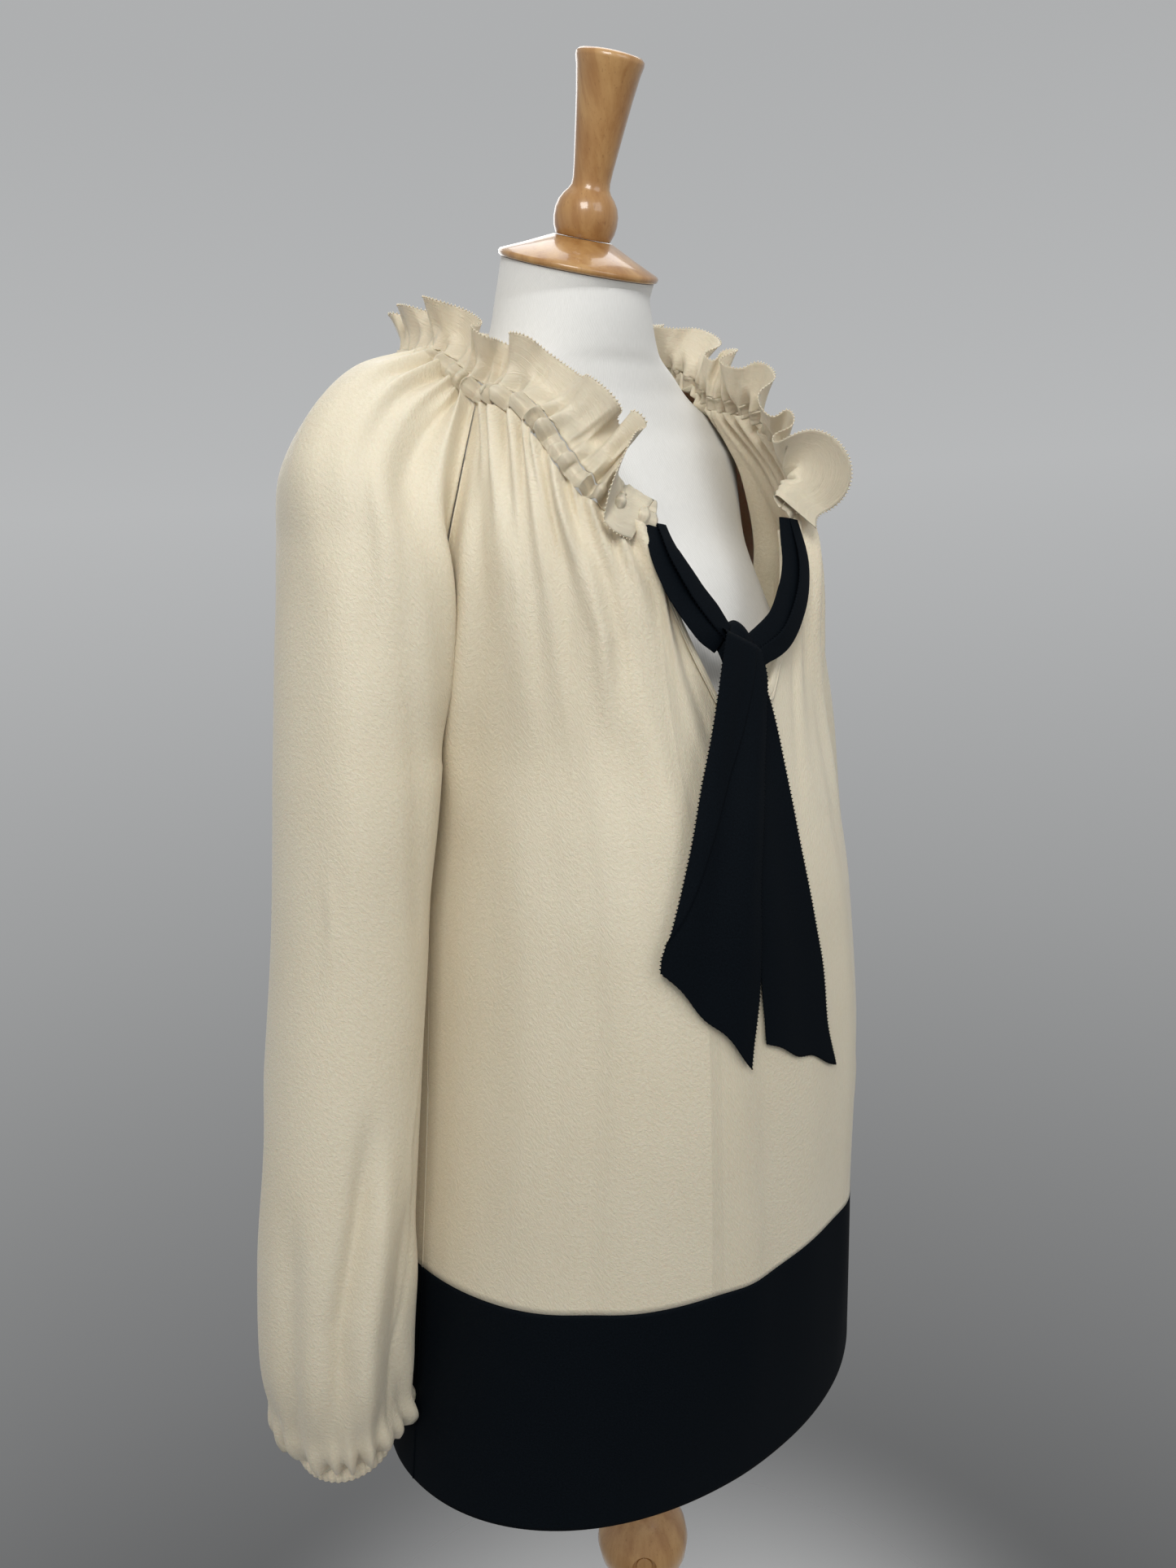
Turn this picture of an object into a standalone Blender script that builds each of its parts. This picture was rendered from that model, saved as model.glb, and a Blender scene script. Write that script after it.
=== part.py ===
"""Tunic blouse with a gathered ruffle neck, a tie and a contrast hem band, worn by a limbless dress form."""

import math

import bmesh
import bpy
import numpy as np

# All sizes in metres. Heights in the tables are measured up from the blouse's hem.
HEM_HEIGHT = 0.600
CLOTH_WALL = 0.0012
SEAM_GAP = 0.0004
SIDE_GAP = 0.0010
SIDE_CROWDING = 1.6
BAND_TOP = 0.161

# One row per level of the body, from the hem up. side_y is where the side line lies.
BODY_COLUMNS = ("height", "half_width", "depth", "power", "side_y")
FRONT_ROWS = (
    (0.0000, 0.218, 0.170, 2.05, 0.000),
    (0.1610, 0.192, 0.180, 2.10, 0.000),
    (0.3000, 0.172, 0.184, 2.35, 0.000),
    (0.4000, 0.160, 0.181, 2.45, 0.000),
    (0.4700, 0.153, 0.171, 2.50, 0.000),
    (0.5200, 0.150, 0.160, 2.50, 0.000),
    (0.5700, 0.149, 0.151, 2.50, -0.016),
    (0.6400, 0.145, 0.144, 2.50, -0.036),
    (0.6900, 0.131, 0.130, 2.50, -0.038),
    (0.7375, 0.108, 0.112, 2.50, -0.030),
)
BACK_ROWS = (
    (0.0000, 0.218, 0.150, 2.05, 0.000),
    (0.1610, 0.192, 0.148, 2.10, 0.000),
    (0.3000, 0.172, 0.138, 2.30, 0.000),
    (0.4000, 0.160, 0.134, 2.40, 0.000),
    (0.5200, 0.150, 0.134, 2.45, 0.000),
    (0.6200, 0.150, 0.134, 2.45, 0.030),
    (0.7000, 0.131, 0.124, 2.45, 0.050),
    (0.7720, 0.100, 0.102, 2.40, 0.060),
)

# The hem swings in on the wearer's left.
LEFT_TAPER = 0.11
LEFT_TAPER_TOP = 0.30

# The front's top edge: across is 0 at the centre front and 1 at the raglan seam.
SLIT_ACROSS = 0.243
FRONT_TOP_COLUMNS = ("across", "height")
FRONT_TOP_ROWS = (
    (0.000, 0.5520),
    (0.243, 0.6550),
    (0.477, 0.6760),
    (0.657, 0.7110),
    (0.760, 0.7275),
    (1.000, 0.7375),
)
BACK_TOP_COLUMNS = ("across", "height")
BACK_TOP_ROWS = (
    (0.00, 0.766),
    (0.50, 0.768),
    (1.00, 0.772),
)

# Raglan part of a sleeve: where each row meets the two raglan seams and its outermost point.
CAP_COLUMNS = ("front_seam", "back_seam", "outer_x", "outer_y", "outer_z", "turn")
CAP_ROWS = (
    (0.7375, 0.772, 0.1100, 0.022, 0.7660, 0.00),
    (0.7120, 0.745, 0.1520, 0.018, 0.7570, 0.10),
    (0.6750, 0.710, 0.1900, 0.014, 0.7300, 0.30),
    (0.6300, 0.660, 0.2140, 0.012, 0.6840, 0.60),
    (0.5750, 0.590, 0.2300, 0.010, 0.6120, 0.85),
    (0.5200, 0.520, 0.2450, 0.010, 0.5200, 1.00),
)

# Tube part of a sleeve, from the underarm down to the cuff.
TUBE_COLUMNS = ("height", "centre_x", "centre_y", "half_width", "half_depth")
TUBE_ROWS = (
    (0.520, 0.1980, 0.010, 0.0470, 0.0560),
    (0.430, 0.2095, 0.012, 0.0470, 0.0560),
    (0.300, 0.2300, 0.016, 0.0490, 0.0570),
    (0.200, 0.2455, 0.020, 0.0500, 0.0590),
    (0.120, 0.2530, 0.026, 0.0480, 0.0560),
    (0.070, 0.2510, 0.033, 0.0410, 0.0480),
    (0.040, 0.2470, 0.037, 0.0340, 0.0370),
)
LEFT_SLEEVE_FORWARD = 0.014
LEFT_SLEEVE_INWARD = 0.010
CUFF_TOP = 0.0396
CUFF_BOTTOM = 0.0280
CUFF_WALL = 0.0022
CUFF_GATHERS = 18

NECK_CASING_HEIGHT = 0.013
CASING_WALL = 0.0020
CASING_RISE = 0.0018
RUFFLE_WALL = 0.0010
RUFFLE_WAVES = 15
RUFFLE_WAVE_DEPTH = 0.0075

# The ruffle from one front end (0) over the shoulder to the centre back (1).
RUFFLE_COLUMNS = ("along", "height", "lean")
RUFFLE_ROWS = (
    (0.00, 0.046, 2.30),
    (0.10, 0.044, 1.95),
    (0.22, 0.038, 1.05),
    (0.42, 0.036, 0.55),
    (1.00, 0.034, 0.40),
)

BINDING_WIDTH = 0.0075
BINDING_LIFT = 0.0011

# Tie pieces: x is the wearer's left, y is backwards.
KNOT_CENTRE = (-0.012, -0.1590, 0.587)
KNOT_HALF_SIZE = (0.0150, 0.0105, 0.0190)
KNOT_LEAN = math.radians(-14)
STRAP_COLUMNS = ("x", "y", "height", "half_width", "half_depth")
RIGHT_STRAP_ROWS = (
    (-0.0583, -0.1360, 0.6572, 0.0050, 0.0013),
    (-0.0495, -0.1445, 0.6490, 0.0100, 0.0024),
    (-0.0350, -0.1515, 0.6250, 0.0105, 0.0030),
    (-0.0196, -0.1562, 0.6041, 0.0085, 0.0032),
)
LEFT_STRAP_ROWS = (
    (0.0581, -0.1362, 0.6570, 0.0050, 0.0013),
    (0.0490, -0.1450, 0.6470, 0.0110, 0.0024),
    (0.0270, -0.1520, 0.6180, 0.0115, 0.0030),
    (0.0024, -0.1566, 0.5951, 0.0085, 0.0032),
)
TAIL_COLUMNS = ("height", "left_x", "right_x", "stand_off", "fold")
FRONT_TAIL_ROWS = (
    (0.5694, -0.0280, 0.0020, 0.0136, 0.0010),
    (0.5350, -0.0560, -0.0020, 0.0150, 0.0030),
    (0.4750, -0.0770, -0.0120, 0.0118, 0.0035),
    (0.4400, -0.0890, -0.0200, 0.0092, 0.0035),
    (0.4100, -0.0990, -0.0280, 0.0072, 0.0030),
    (0.3980, -0.1020, -0.0320, 0.0068, 0.0030),
)
FRONT_TAIL_DROP = 0.084
BACK_TAIL_ROWS = (
    (0.5694, -0.0180, 0.0060, 0.0118, 0.0002),
    (0.5200, -0.0300, 0.0040, 0.0094, 0.0012),
    (0.4750, -0.0350, 0.0080, 0.0056, 0.0016),
    (0.4000, -0.0360, 0.0240, 0.0026, 0.0016),
    (0.3500, -0.0340, 0.0340, 0.0020, 0.0016),
    (0.3300, -0.0320, 0.0420, 0.0020, 0.0016),
)
BACK_TAIL_DROP = 0.042

# The dress form, a row per level: a closed ellipse-like ring.
FORM_COLUMNS = ("height", "half_width", "front", "back", "power")
FORM_ROWS = (
    (0.080, 0.1600, 0.1120, 0.1180, 2.2),
    (0.170, 0.1640, 0.1160, 0.1200, 2.2),
    (0.280, 0.1380, 0.1050, 0.0980, 2.2),
    (0.350, 0.1220, 0.1020, 0.0880, 2.2),
    (0.440, 0.1320, 0.1300, 0.0960, 2.3),
    (0.510, 0.1410, 0.1450, 0.1060, 2.4),
    (0.560, 0.1410, 0.1320, 0.1120, 2.3),
    (0.620, 0.1440, 0.1100, 0.1120, 1.9),
    (0.660, 0.1620, 0.0860, 0.0940, 1.5),
    (0.7078, 0.1640, 0.0620, 0.0800, 1.5),
    (0.7228, 0.1540, 0.0550, 0.0740, 1.5),
    (0.7368, 0.1340, 0.0510, 0.0690, 1.6),
    (0.7508, 0.1080, 0.0490, 0.0630, 1.7),
    (0.7656, 0.0860, 0.0490, 0.0590, 1.9),
    (0.776, 0.0680, 0.0520, 0.0560, 2.0),
    (0.798, 0.0570, 0.0560, 0.0500, 2.0),
    (0.812, 0.0530, 0.0570, 0.0480, 2.0),
)
NECK_TILT = math.radians(20)
NECK_RADIUS = 0.0520
NECK_TOP = (0.0, -0.0115, 0.831)

# Neck cap and finial profiles along the neck's axis: radius, height.
CAP_PROFILE = (
    ("rim_top", 0.0545, 0.0030),
    ("cone_mid", 0.0380, 0.0105),
    ("cone_top", 0.0200, 0.0185),
)
FINIAL_PROFILE = (
    ("foot", 0.0185, 0.0190),
    ("bulb_low", 0.0205, 0.0240),
    ("bulb", 0.0212, 0.0330),
    ("bulb_high", 0.0180, 0.0420),
    ("waist", 0.0126, 0.0490),
    ("grip", 0.0140, 0.0680),
    ("handle", 0.0180, 0.0980),
    ("head", 0.0220, 0.1200),
    ("tip", 0.0195, 0.1230),
)

POLE_RADIUS = 0.0165
BALL_CENTRE = -0.218
BALL_PROFILE = (
    ("top_neck", 0.0190, 0.0420),
    ("upper", 0.0320, 0.0270),
    ("belly", 0.0400, 0.0000),
    ("lower", 0.0320, -0.0270),
    ("waist", 0.0200, -0.0370),
    ("ring_top", 0.0285, -0.0410),
    ("ring_low", 0.0285, -0.0530),
    ("foot", 0.0200, -0.0570),
)
BASE_RADIUS = 0.185
BASE_THICKNESS = 0.030
TURN_STEPS = 28

FRONT_SLIT_STEPS = 5
FRONT_SIDE_STEPS = 15
FRONT_ROWS_DOWN = 9
BACK_STEPS = 30
BACK_ROWS_DOWN = 9
BAND_STEPS = 30
BAND_ROWS_DOWN = 2
CAP_STEPS_DOWN = 7
TUBE_STEPS_DOWN = 9
SLEEVE_STEPS_ROUND = 24
NECK_STEPS = 120

# Soft ridges of the front and back: across, width, how far they stand out, top and bottom.
FOLD_COLUMNS = ("across", "width", "depth", "top", "bottom")
FRONT_FOLDS = (
    (-0.80, 0.060, 0.0050, 0.740, 0.380),
    (-0.52, 0.050, 0.0040, 0.700, 0.420),
    (-0.36, 0.045, 0.0045, 0.690, 0.330),
    (0.42, 0.050, 0.0045, 0.690, 0.380),
    (0.70, 0.060, 0.0045, 0.720, 0.400),
)
BACK_FOLDS = (
    (-0.62, 0.060, 0.0050, 0.770, 0.300),
    (-0.25, 0.050, 0.0040, 0.770, 0.400),
    (0.15, 0.050, 0.0045, 0.770, 0.330),
    (0.58, 0.060, 0.0050, 0.770, 0.350),
)
# Long folds of a sleeve: around runs 0 to 1 from the front seam over the outside to the back seam.
SLEEVE_FOLD_COLUMNS = ("around", "width", "depth", "top", "bottom")
SLEEVE_FOLDS = (
    (0.18, 0.055, -0.0060, 0.260, 0.050),
    (0.30, 0.050, 0.0040, 0.640, 0.200),
    (0.42, 0.045, -0.0045, 0.240, 0.050),
    (0.60, 0.060, -0.0050, 0.300, 0.050),
    (0.80, 0.060, -0.0060, 0.330, 0.050),
)

GATHER_DEPTH = 0.0050
GATHER_FADE = 0.085
GATHER_COUNT = 4

COLORS = {
    "cream_crepe": (0.80, 0.70, 0.52, 1.0),
    "black_crepe": (0.006, 0.008, 0.012, 1.0),
    "form_cover": (0.82, 0.81, 0.78, 1.0),
    "beech_wood": (0.50, 0.27, 0.11, 1.0),
}
ROUGHNESS = {
    "cream_crepe": 0.55,
    "black_crepe": 0.65,
    "form_cover": 0.85,
    "beech_wood": 0.30,
}


def clear_scene():
    for item in list(bpy.data.objects):
        bpy.data.objects.remove(item, do_unlink=True)


def make_material(slot, node):
    material = bpy.data.materials.new(slot + "_" + node)
    material.use_nodes = True
    shader = material.node_tree.nodes["Principled BSDF"]
    shader.inputs["Base Color"].default_value = COLORS[slot]
    shader.inputs["Roughness"].default_value = ROUGHNESS[slot]
    return material


def hermite(keys, values, key):
    """A smooth curve through the values that never swings past them."""
    keys = np.asarray(keys, float)
    values = np.asarray(values, float)
    rises = np.diff(values) / np.diff(keys)
    same = rises[:-1] * rises[1:] > 0
    total = np.where(same, rises[:-1] + rises[1:], 1.0)
    inner = np.where(same, 2 * rises[:-1] * rises[1:] / total, 0.0)
    slopes = np.concatenate((rises[:1], inner, rises[-1:]))
    place = np.clip(np.searchsorted(keys, key) - 1, 0, len(keys) - 2)
    span = keys[place + 1] - keys[place]
    part = np.clip((key - keys[place]) / span, 0.0, 1.0)
    start = (2 * part**3 - 3 * part**2 + 1) * values[place]
    start_slope = (part**3 - 2 * part**2 + part) * span * slopes[place]
    end = (3 * part**2 - 2 * part**3) * values[place + 1]
    end_slope = (part**3 - part**2) * span * slopes[place + 1]
    return start + start_slope + end + end_slope


def read_row(columns, rows, key):
    """All named columns of a table at one value of its first column."""
    table = np.array(rows, float)
    order = np.argsort(table[:, 0])
    table = table[order]
    return {
        name: float(hermite(table[:, 0], table[:, place], key))
        for place, name in enumerate(columns)
    }


def read_step(columns, rows, step):
    """All named columns of a table at a step from 0 at its first row to 1 at its last."""
    table = np.array(rows, float)
    keys = np.linspace(0.0, 1.0, len(rows))
    return {name: float(hermite(keys, table[:, place], step)) for place, name in enumerate(columns)}


def straight(rows, key):
    table = np.array(rows, float)
    return float(np.interp(key, table[:, 0], table[:, 1]))


def unit(vector):
    vector = np.asarray(vector, float)
    return vector / max(np.linalg.norm(vector), 1e-9)


def lift(points):
    return np.asarray(points, float) + np.array((0.0, 0.0, HEM_HEIGHT))


def body_point(rows, front, across, height, out=0.0):
    """A point of the body: across runs -1 to 1 from the right side line to the left one."""
    row = read_row(BODY_COLUMNS, rows, height)
    angle = across * math.pi / 2
    power = 2.0 / row["power"]
    sine = math.copysign(abs(math.sin(angle)) ** power, across)
    cosine = abs(math.cos(angle)) ** power
    way = -1.0 if front else 1.0
    depth = row["depth"] - way * row["side_y"]
    half_width = row["half_width"]
    if across > 0:
        half_width *= 1.0 - LEFT_TAPER * max(0.0, 1.0 - height / LEFT_TAPER_TOP)
    x = (half_width + out) * sine
    y = row["side_y"] + way * (depth + out) * cosine
    return np.array((x, y, height))


def chest_y(x, height):
    """Where the front panel's outer face lies at this x and height."""
    row = read_row(BODY_COLUMNS, FRONT_ROWS, height)
    power = row["power"]
    part = (1.0 - abs(x / row["half_width"]) ** power) ** (1.0 / power)
    return row["side_y"] - (row["depth"] + row["side_y"]) * part


def front_top(across):
    return straight(FRONT_TOP_ROWS, abs(across))


def back_top(across):
    return read_row(BACK_TOP_COLUMNS, BACK_TOP_ROWS, abs(across))["height"]


def gather(below_top, reach):
    """How far the gathers stand out of the smooth body below the neck."""
    wave = 0.5 - 0.5 * math.cos(2 * math.pi * GATHER_COUNT * reach)
    fade = math.exp(-below_top / GATHER_FADE)
    return GATHER_DEPTH * wave * fade


def ridge(folds, place, height):
    """How far the long folds stand out at this place and height."""
    total = 0.0
    for centre, width, depth, top, bottom in folds:
        if not bottom < height < top:
            continue
        fade = math.sin(math.pi * (top - height) / (top - bottom)) ** 0.7
        total += depth * fade * math.exp(-(((place - centre) / width) ** 2))
    return total


def mesh_from_grid(name, grid, joined_from=None):
    """A sheet of quads. Rows from joined_from on are closed into rings at their ends."""
    grid = np.asarray(grid)
    row_count, column_count = grid.shape[:2]
    mesh = bmesh.new()
    made = []
    for row in range(row_count):
        ring = joined_from is not None and row >= joined_from
        corners = [mesh.verts.new(point) for point in grid[row][: column_count - ring]]
        if ring:
            corners.append(corners[0])
        made.append(corners)
    for row in range(row_count - 1):
        for column in range(column_count - 1):
            corners = [
                made[row][column],
                made[row][column + 1],
                made[row + 1][column + 1],
                made[row + 1][column],
            ]
            corners = list(dict.fromkeys(corners))
            if len(corners) > 2:
                mesh.faces.new(corners)
    data = bpy.data.meshes.new(name)
    mesh.to_mesh(data)
    mesh.free()
    return data


def add_object(name, data, slot, collection):
    item = bpy.data.objects.new(name, data)
    data.materials.append(make_material(slot, name))
    collection.objects.link(item)
    return item


def add_sheet(name, grid, slot, collection, outward, wall=CLOTH_WALL, joined_from=None):
    """A cloth panel: its grid is the outer face and the wall goes inwards from it."""
    grid = lift(grid)
    middle_row = (grid.shape[0] - 1) // 2
    middle = grid.shape[1] // 2
    across = grid[middle_row, middle + 1] - grid[middle_row, middle]
    way_down = grid[middle_row + 1, middle] - grid[middle_row, middle]
    normal = np.cross(way_down, across)
    if float(np.dot(normal, outward(grid[middle_row, middle]))) > 0:
        grid = grid[:, ::-1]
    item = add_object(name, mesh_from_grid(name, grid, joined_from), slot, collection)
    solid = item.modifiers.new("wall", "SOLIDIFY")
    solid.thickness = wall
    solid.offset = -1.0
    solid.use_even_offset = True
    solid.use_quality_normals = True
    solid.thickness_clamp = 1.0
    return item


def from_axis(point):
    return np.array((point[0], point[1], 0.0))


def crowd(count):
    """Steps from 0 to 1 that shorten towards 1, so the last face runs nearly along the side line."""
    return 1.0 - (1.0 - np.linspace(0.0, 1.0, count + 1)) ** SIDE_CROWDING


def across_steps(count):
    half = crowd(count // 2)
    return np.concatenate((-half[:0:-1], half))


def front_columns():
    slit = np.linspace(0.0, SLIT_ACROSS, FRONT_SLIT_STEPS + 1)
    side = SLIT_ACROSS + (1.0 - SLIT_ACROSS) * crowd(FRONT_SIDE_STEPS)[1:]
    half = np.concatenate((slit, side))
    return np.concatenate((-half[:0:-1], half))


def build_front(collection):
    grid = []
    for step in np.linspace(0.0, 1.0, FRONT_ROWS_DOWN + 1) ** 1.25:
        line = []
        for across in front_columns():
            top = front_top(across)
            height = top + (BAND_TOP + SEAM_GAP / 2 - top) * step
            reach = max(0.0, (abs(across) - SLIT_ACROSS) / (1.0 - SLIT_ACROSS))
            out = gather(top - height, reach) + ridge(FRONT_FOLDS, across, height)
            line.append(body_point(FRONT_ROWS, True, across, height, out))
        grid.append(line)
    grid = np.array(grid)
    grid[:, 0, 1] -= SIDE_GAP / 2
    grid[:, -1, 1] -= SIDE_GAP / 2
    add_sheet("front", grid, "cream_crepe", collection, from_axis)


def build_back(collection):
    grid = []
    for step in np.linspace(0.0, 1.0, BACK_ROWS_DOWN + 1) ** 1.2:
        line = []
        for across in across_steps(BACK_STEPS):
            top = back_top(across)
            height = top + (BAND_TOP + SEAM_GAP / 2 - top) * step
            out = gather(top - height, abs(across)) + ridge(BACK_FOLDS, across, height)
            line.append(body_point(BACK_ROWS, False, across, height, out))
        grid.append(line)
    grid = np.array(grid)
    grid[:, 0, 1] += SIDE_GAP / 2
    grid[:, -1, 1] += SIDE_GAP / 2
    add_sheet("back", grid, "cream_crepe", collection, from_axis)


def build_band(name, rows, front, collection):
    grid = []
    for height in np.linspace(BAND_TOP - SEAM_GAP / 2, 0.0, BAND_ROWS_DOWN + 1):
        line = [
            body_point(rows, front, across, height)
            for across in across_steps(BAND_STEPS)
        ]
        grid.append(line)
    grid = np.array(grid)
    way = -1.0 if front else 1.0
    grid[:, 0, 1] += way * SIDE_GAP / 2
    grid[:, -1, 1] += way * SIDE_GAP / 2
    add_sheet(name, grid, "black_crepe", collection, from_axis)


def bow(start, start_way, end, end_way, handle, part):
    """A curve from start to end with handles of the given length."""
    a = (1 - part) ** 3
    b = 3 * part * (1 - part) ** 2
    c = 3 * part**2 * (1 - part)
    return (
        a * start
        + b * (start + start_way * handle)
        + c * (end - end_way * handle)
        + part**3 * end
    )


def sleeve_row(inner_front, inner_back, outer, turn, half_depth):
    """One row of a right sleeve, from its front seam round the outside to its back seam."""
    line = []
    half = SLEEVE_STEPS_ROUND // 2
    backwards = np.array((0.0, 1.0, 0.0))
    for inner, way in ((inner_front, -1.0), (inner_back, 1.0)):
        reach = outer - inner
        plain = unit(reach)
        start_way = unit((1 - turn) * plain + turn * way * backwards)
        plain_handle = np.linalg.norm(reach) * 0.36
        handle = (1 - turn) * plain_handle + turn * half_depth * 4.0 / 3.0
        part = np.linspace(0.0, 1.0, half + 1)
        points = [bow(inner, start_way, outer, -way * backwards, handle, p) for p in part]
        line.append(points)
    return line[0] + line[1][::-1][1:]


def fold_row(line, centre, height):
    """Moves a ring's points out or in where the sleeve's long folds run."""
    found = []
    middle = np.array((-centre[0], centre[1], height))
    for step, point in enumerate(line):
        out = ridge(SLEEVE_FOLDS, step / (len(line) - 1), height)
        found.append(point + unit(point - middle) * out)
    return found


def sleeve_grid():
    """The right sleeve's rows, and the number of the first ring."""
    grid = []
    out = np.array((-3.5 * SEAM_GAP, 0.0, 0.0))
    for step in np.linspace(0.0, 1.0, CAP_STEPS_DOWN + 1)[:-1]:
        row = read_step(CAP_COLUMNS, CAP_ROWS, step)
        inner_front = body_point(FRONT_ROWS, True, -1.0, row["front_seam"]) + out
        inner_back = body_point(BACK_ROWS, False, -1.0, row["back_seam"]) + out
        outer = np.array((-row["outer_x"], row["outer_y"], row["outer_z"]))
        half_depth = TUBE_ROWS[0][4]
        grid.append(sleeve_row(inner_front, inner_back, outer, row["turn"], half_depth))
    for step in np.linspace(0.0, 1.0, TUBE_STEPS_DOWN + 1) ** 0.8:
        row = read_step(TUBE_COLUMNS, TUBE_ROWS, step)
        inner = np.array((row["half_width"] - row["centre_x"], row["centre_y"], row["height"]))
        outer = np.array((-row["half_width"] - row["centre_x"], row["centre_y"], row["height"]))
        line = sleeve_row(inner, inner, outer, 1.0, row["half_depth"])
        grid.append(fold_row(line, (row["centre_x"], row["centre_y"]), row["height"]))
    return np.array(grid), CAP_STEPS_DOWN


def to_left(grid):
    """Mirrors a right piece; the tube hangs a little further forward than the right one."""
    grid = np.array(grid) * np.array((-1.0, 1.0, 1.0))
    drop = np.clip((0.66 - grid[..., 2]) / 0.32, 0.0, 1.0)
    low = np.clip((0.38 - grid[..., 2]) / 0.20, 0.0, 1.0)
    grid[..., 0] -= LEFT_SLEEVE_INWARD * low * low * (3 - 2 * low)
    grid[..., 1] -= LEFT_SLEEVE_FORWARD * drop * drop * (3 - 2 * drop)
    return grid


def sleeve_outward(point):
    centre_x = math.copysign(0.22, point[0])
    return np.array((point[0] - centre_x, point[1] - 0.02, 0.0))


def build_sleeves(collection):
    grid, joined = sleeve_grid()
    add_sheet("sleeve_right", grid, "cream_crepe", collection, sleeve_outward, joined_from=joined)
    left = to_left(grid)
    left[:joined, 0] = grid[:joined, 0] * np.array((-1.0, 1.0, 1.0))
    left[:joined, -1] = grid[:joined, -1] * np.array((-1.0, 1.0, 1.0))
    add_sheet("sleeve_left", left, "cream_crepe", collection, sleeve_outward, joined_from=joined)


def cuff_grid():
    row = dict(zip(TUBE_COLUMNS, TUBE_ROWS[-1], strict=True))
    grid = []
    middle = 0.5 * (CUFF_TOP + CUFF_BOTTOM)
    for height, spread in ((CUFF_TOP, 0.0), (middle, 0.0012), (CUFF_BOTTOM, 0.0)):
        line = []
        for step in range(2 * CUFF_GATHERS + 1):
            angle = math.pi * step / CUFF_GATHERS
            crimp = 0.0006 if step % 2 else 0.0
            x = -row["centre_x"] + (row["half_width"] + spread - crimp) * math.cos(angle)
            y = row["centre_y"] - (row["half_depth"] + spread - crimp) * math.sin(angle)
            line.append((x, y, height))
        grid.append(line)
    return np.array(grid)


def build_cuffs(collection):
    grid = cuff_grid()
    add_sheet("cuff_right", grid, "cream_crepe", collection, sleeve_outward, CUFF_WALL, 0)
    left = grid * np.array((-1.0, 1.0, 1.0))
    left -= np.array((LEFT_SLEEVE_INWARD, LEFT_SLEEVE_FORWARD, 0.0))
    add_sheet("cuff_left", left, "cream_crepe", collection, sleeve_outward, CUFF_WALL, 0)


def neck_half():
    """The neck edge from the right front end over the shoulder to the centre back."""
    points = []
    for across in np.linspace(-SLIT_ACROSS, -1.0, 24):
        points.append(body_point(FRONT_ROWS, True, across, front_top(across)))
    grid = sleeve_grid()[0]
    points.extend(grid[0][1:-1])
    for across in np.linspace(-1.0, 0.0, 24):
        points.append(body_point(BACK_ROWS, False, across, back_top(across)))
    return np.array(points)


def even_steps(points, count):
    lengths = np.linalg.norm(np.diff(points, axis=0), axis=1)
    along = np.concatenate(((0.0,), np.cumsum(lengths)))
    places = np.linspace(0.0, along[-1], count + 1)
    return np.stack([np.interp(places, along, points[:, axis]) for axis in range(3)], axis=1)


def soften(points, rounds):
    points = points.copy()
    for _ in range(rounds):
        points[1:-1] = 0.25 * points[:-2] + 0.5 * points[1:-1] + 0.25 * points[2:]
    return points


def neck_line():
    """The whole neck edge, right front end to left front end, with its up and outward ways."""
    half = neck_half()
    other = half[::-1][1:] * np.array((-1.0, 1.0, 1.0))
    line = soften(even_steps(np.concatenate((half, other)), NECK_STEPS), 2)
    ways = []
    for point, along in zip(line, soften(np.gradient(line, axis=0), 6), strict=True):
        radial = unit((point[0], point[1] + 0.01, 0.0))
        facing = 0.88 * radial + np.array((0.0, 0.0, 0.47))
        up = unit(np.cross(facing, along))
        up *= math.copysign(1.0, up[2])
        out = unit(facing - along * np.dot(facing, along) / np.dot(along, along))
        ways.append((up, out))
    return line, ways


def build_casing(collection):
    line, ways = neck_line()
    grid = []
    for rise in (NECK_CASING_HEIGHT, CASING_RISE):
        ring = []
        for step, (point, (up, out)) in enumerate(zip(line, ways, strict=True)):
            crimp = 0.0012 if step % 4 < 2 else 0.0
            ring.append(point + up * rise + out * (crimp + 0.0014))
        grid.append(ring)
    add_sheet("neck_casing", np.array(grid), "cream_crepe", collection, from_axis, CASING_WALL)


def ruffle_point(point, up, out, lean, height, part, wave):
    """A point of the ruffle: it bends over by the lean within its first part, then runs straight."""
    bend = 0.42
    steps = 12
    place = point.copy()
    for count in range(steps):
        here = part * (count + 0.5) / steps
        angle = lean * min(1.0, here / bend)
        place = place + (up * math.cos(angle) + out * math.sin(angle)) * height * part / steps
    angle = lean * min(1.0, part / bend)
    side = out * math.cos(angle) - up * math.sin(angle)
    return place + side * wave * part


def build_ruffle(collection):
    line, ways = neck_line()
    grid = []
    for part in (1.0, 0.6, 0.28, 0.0):
        ring = []
        for step, (point, (up, out)) in enumerate(zip(line, ways, strict=True)):
            along = 1.0 - abs(2.0 * step / NECK_STEPS - 1.0)
            row = read_row(RUFFLE_COLUMNS, RUFFLE_ROWS, along)
            turns = RUFFLE_WAVES * step / NECK_STEPS
            wave = RUFFLE_WAVE_DEPTH * math.sin(2 * math.pi * turns)
            start = point + up * (NECK_CASING_HEIGHT + 2.0 * SEAM_GAP) + out * 0.0014
            ring.append(ruffle_point(start, up, out, row["lean"], row["height"], part, wave))
        grid.append(ring)
    add_sheet("neck_ruffle", np.array(grid), "cream_crepe", collection, from_axis, RUFFLE_WALL)


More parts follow.
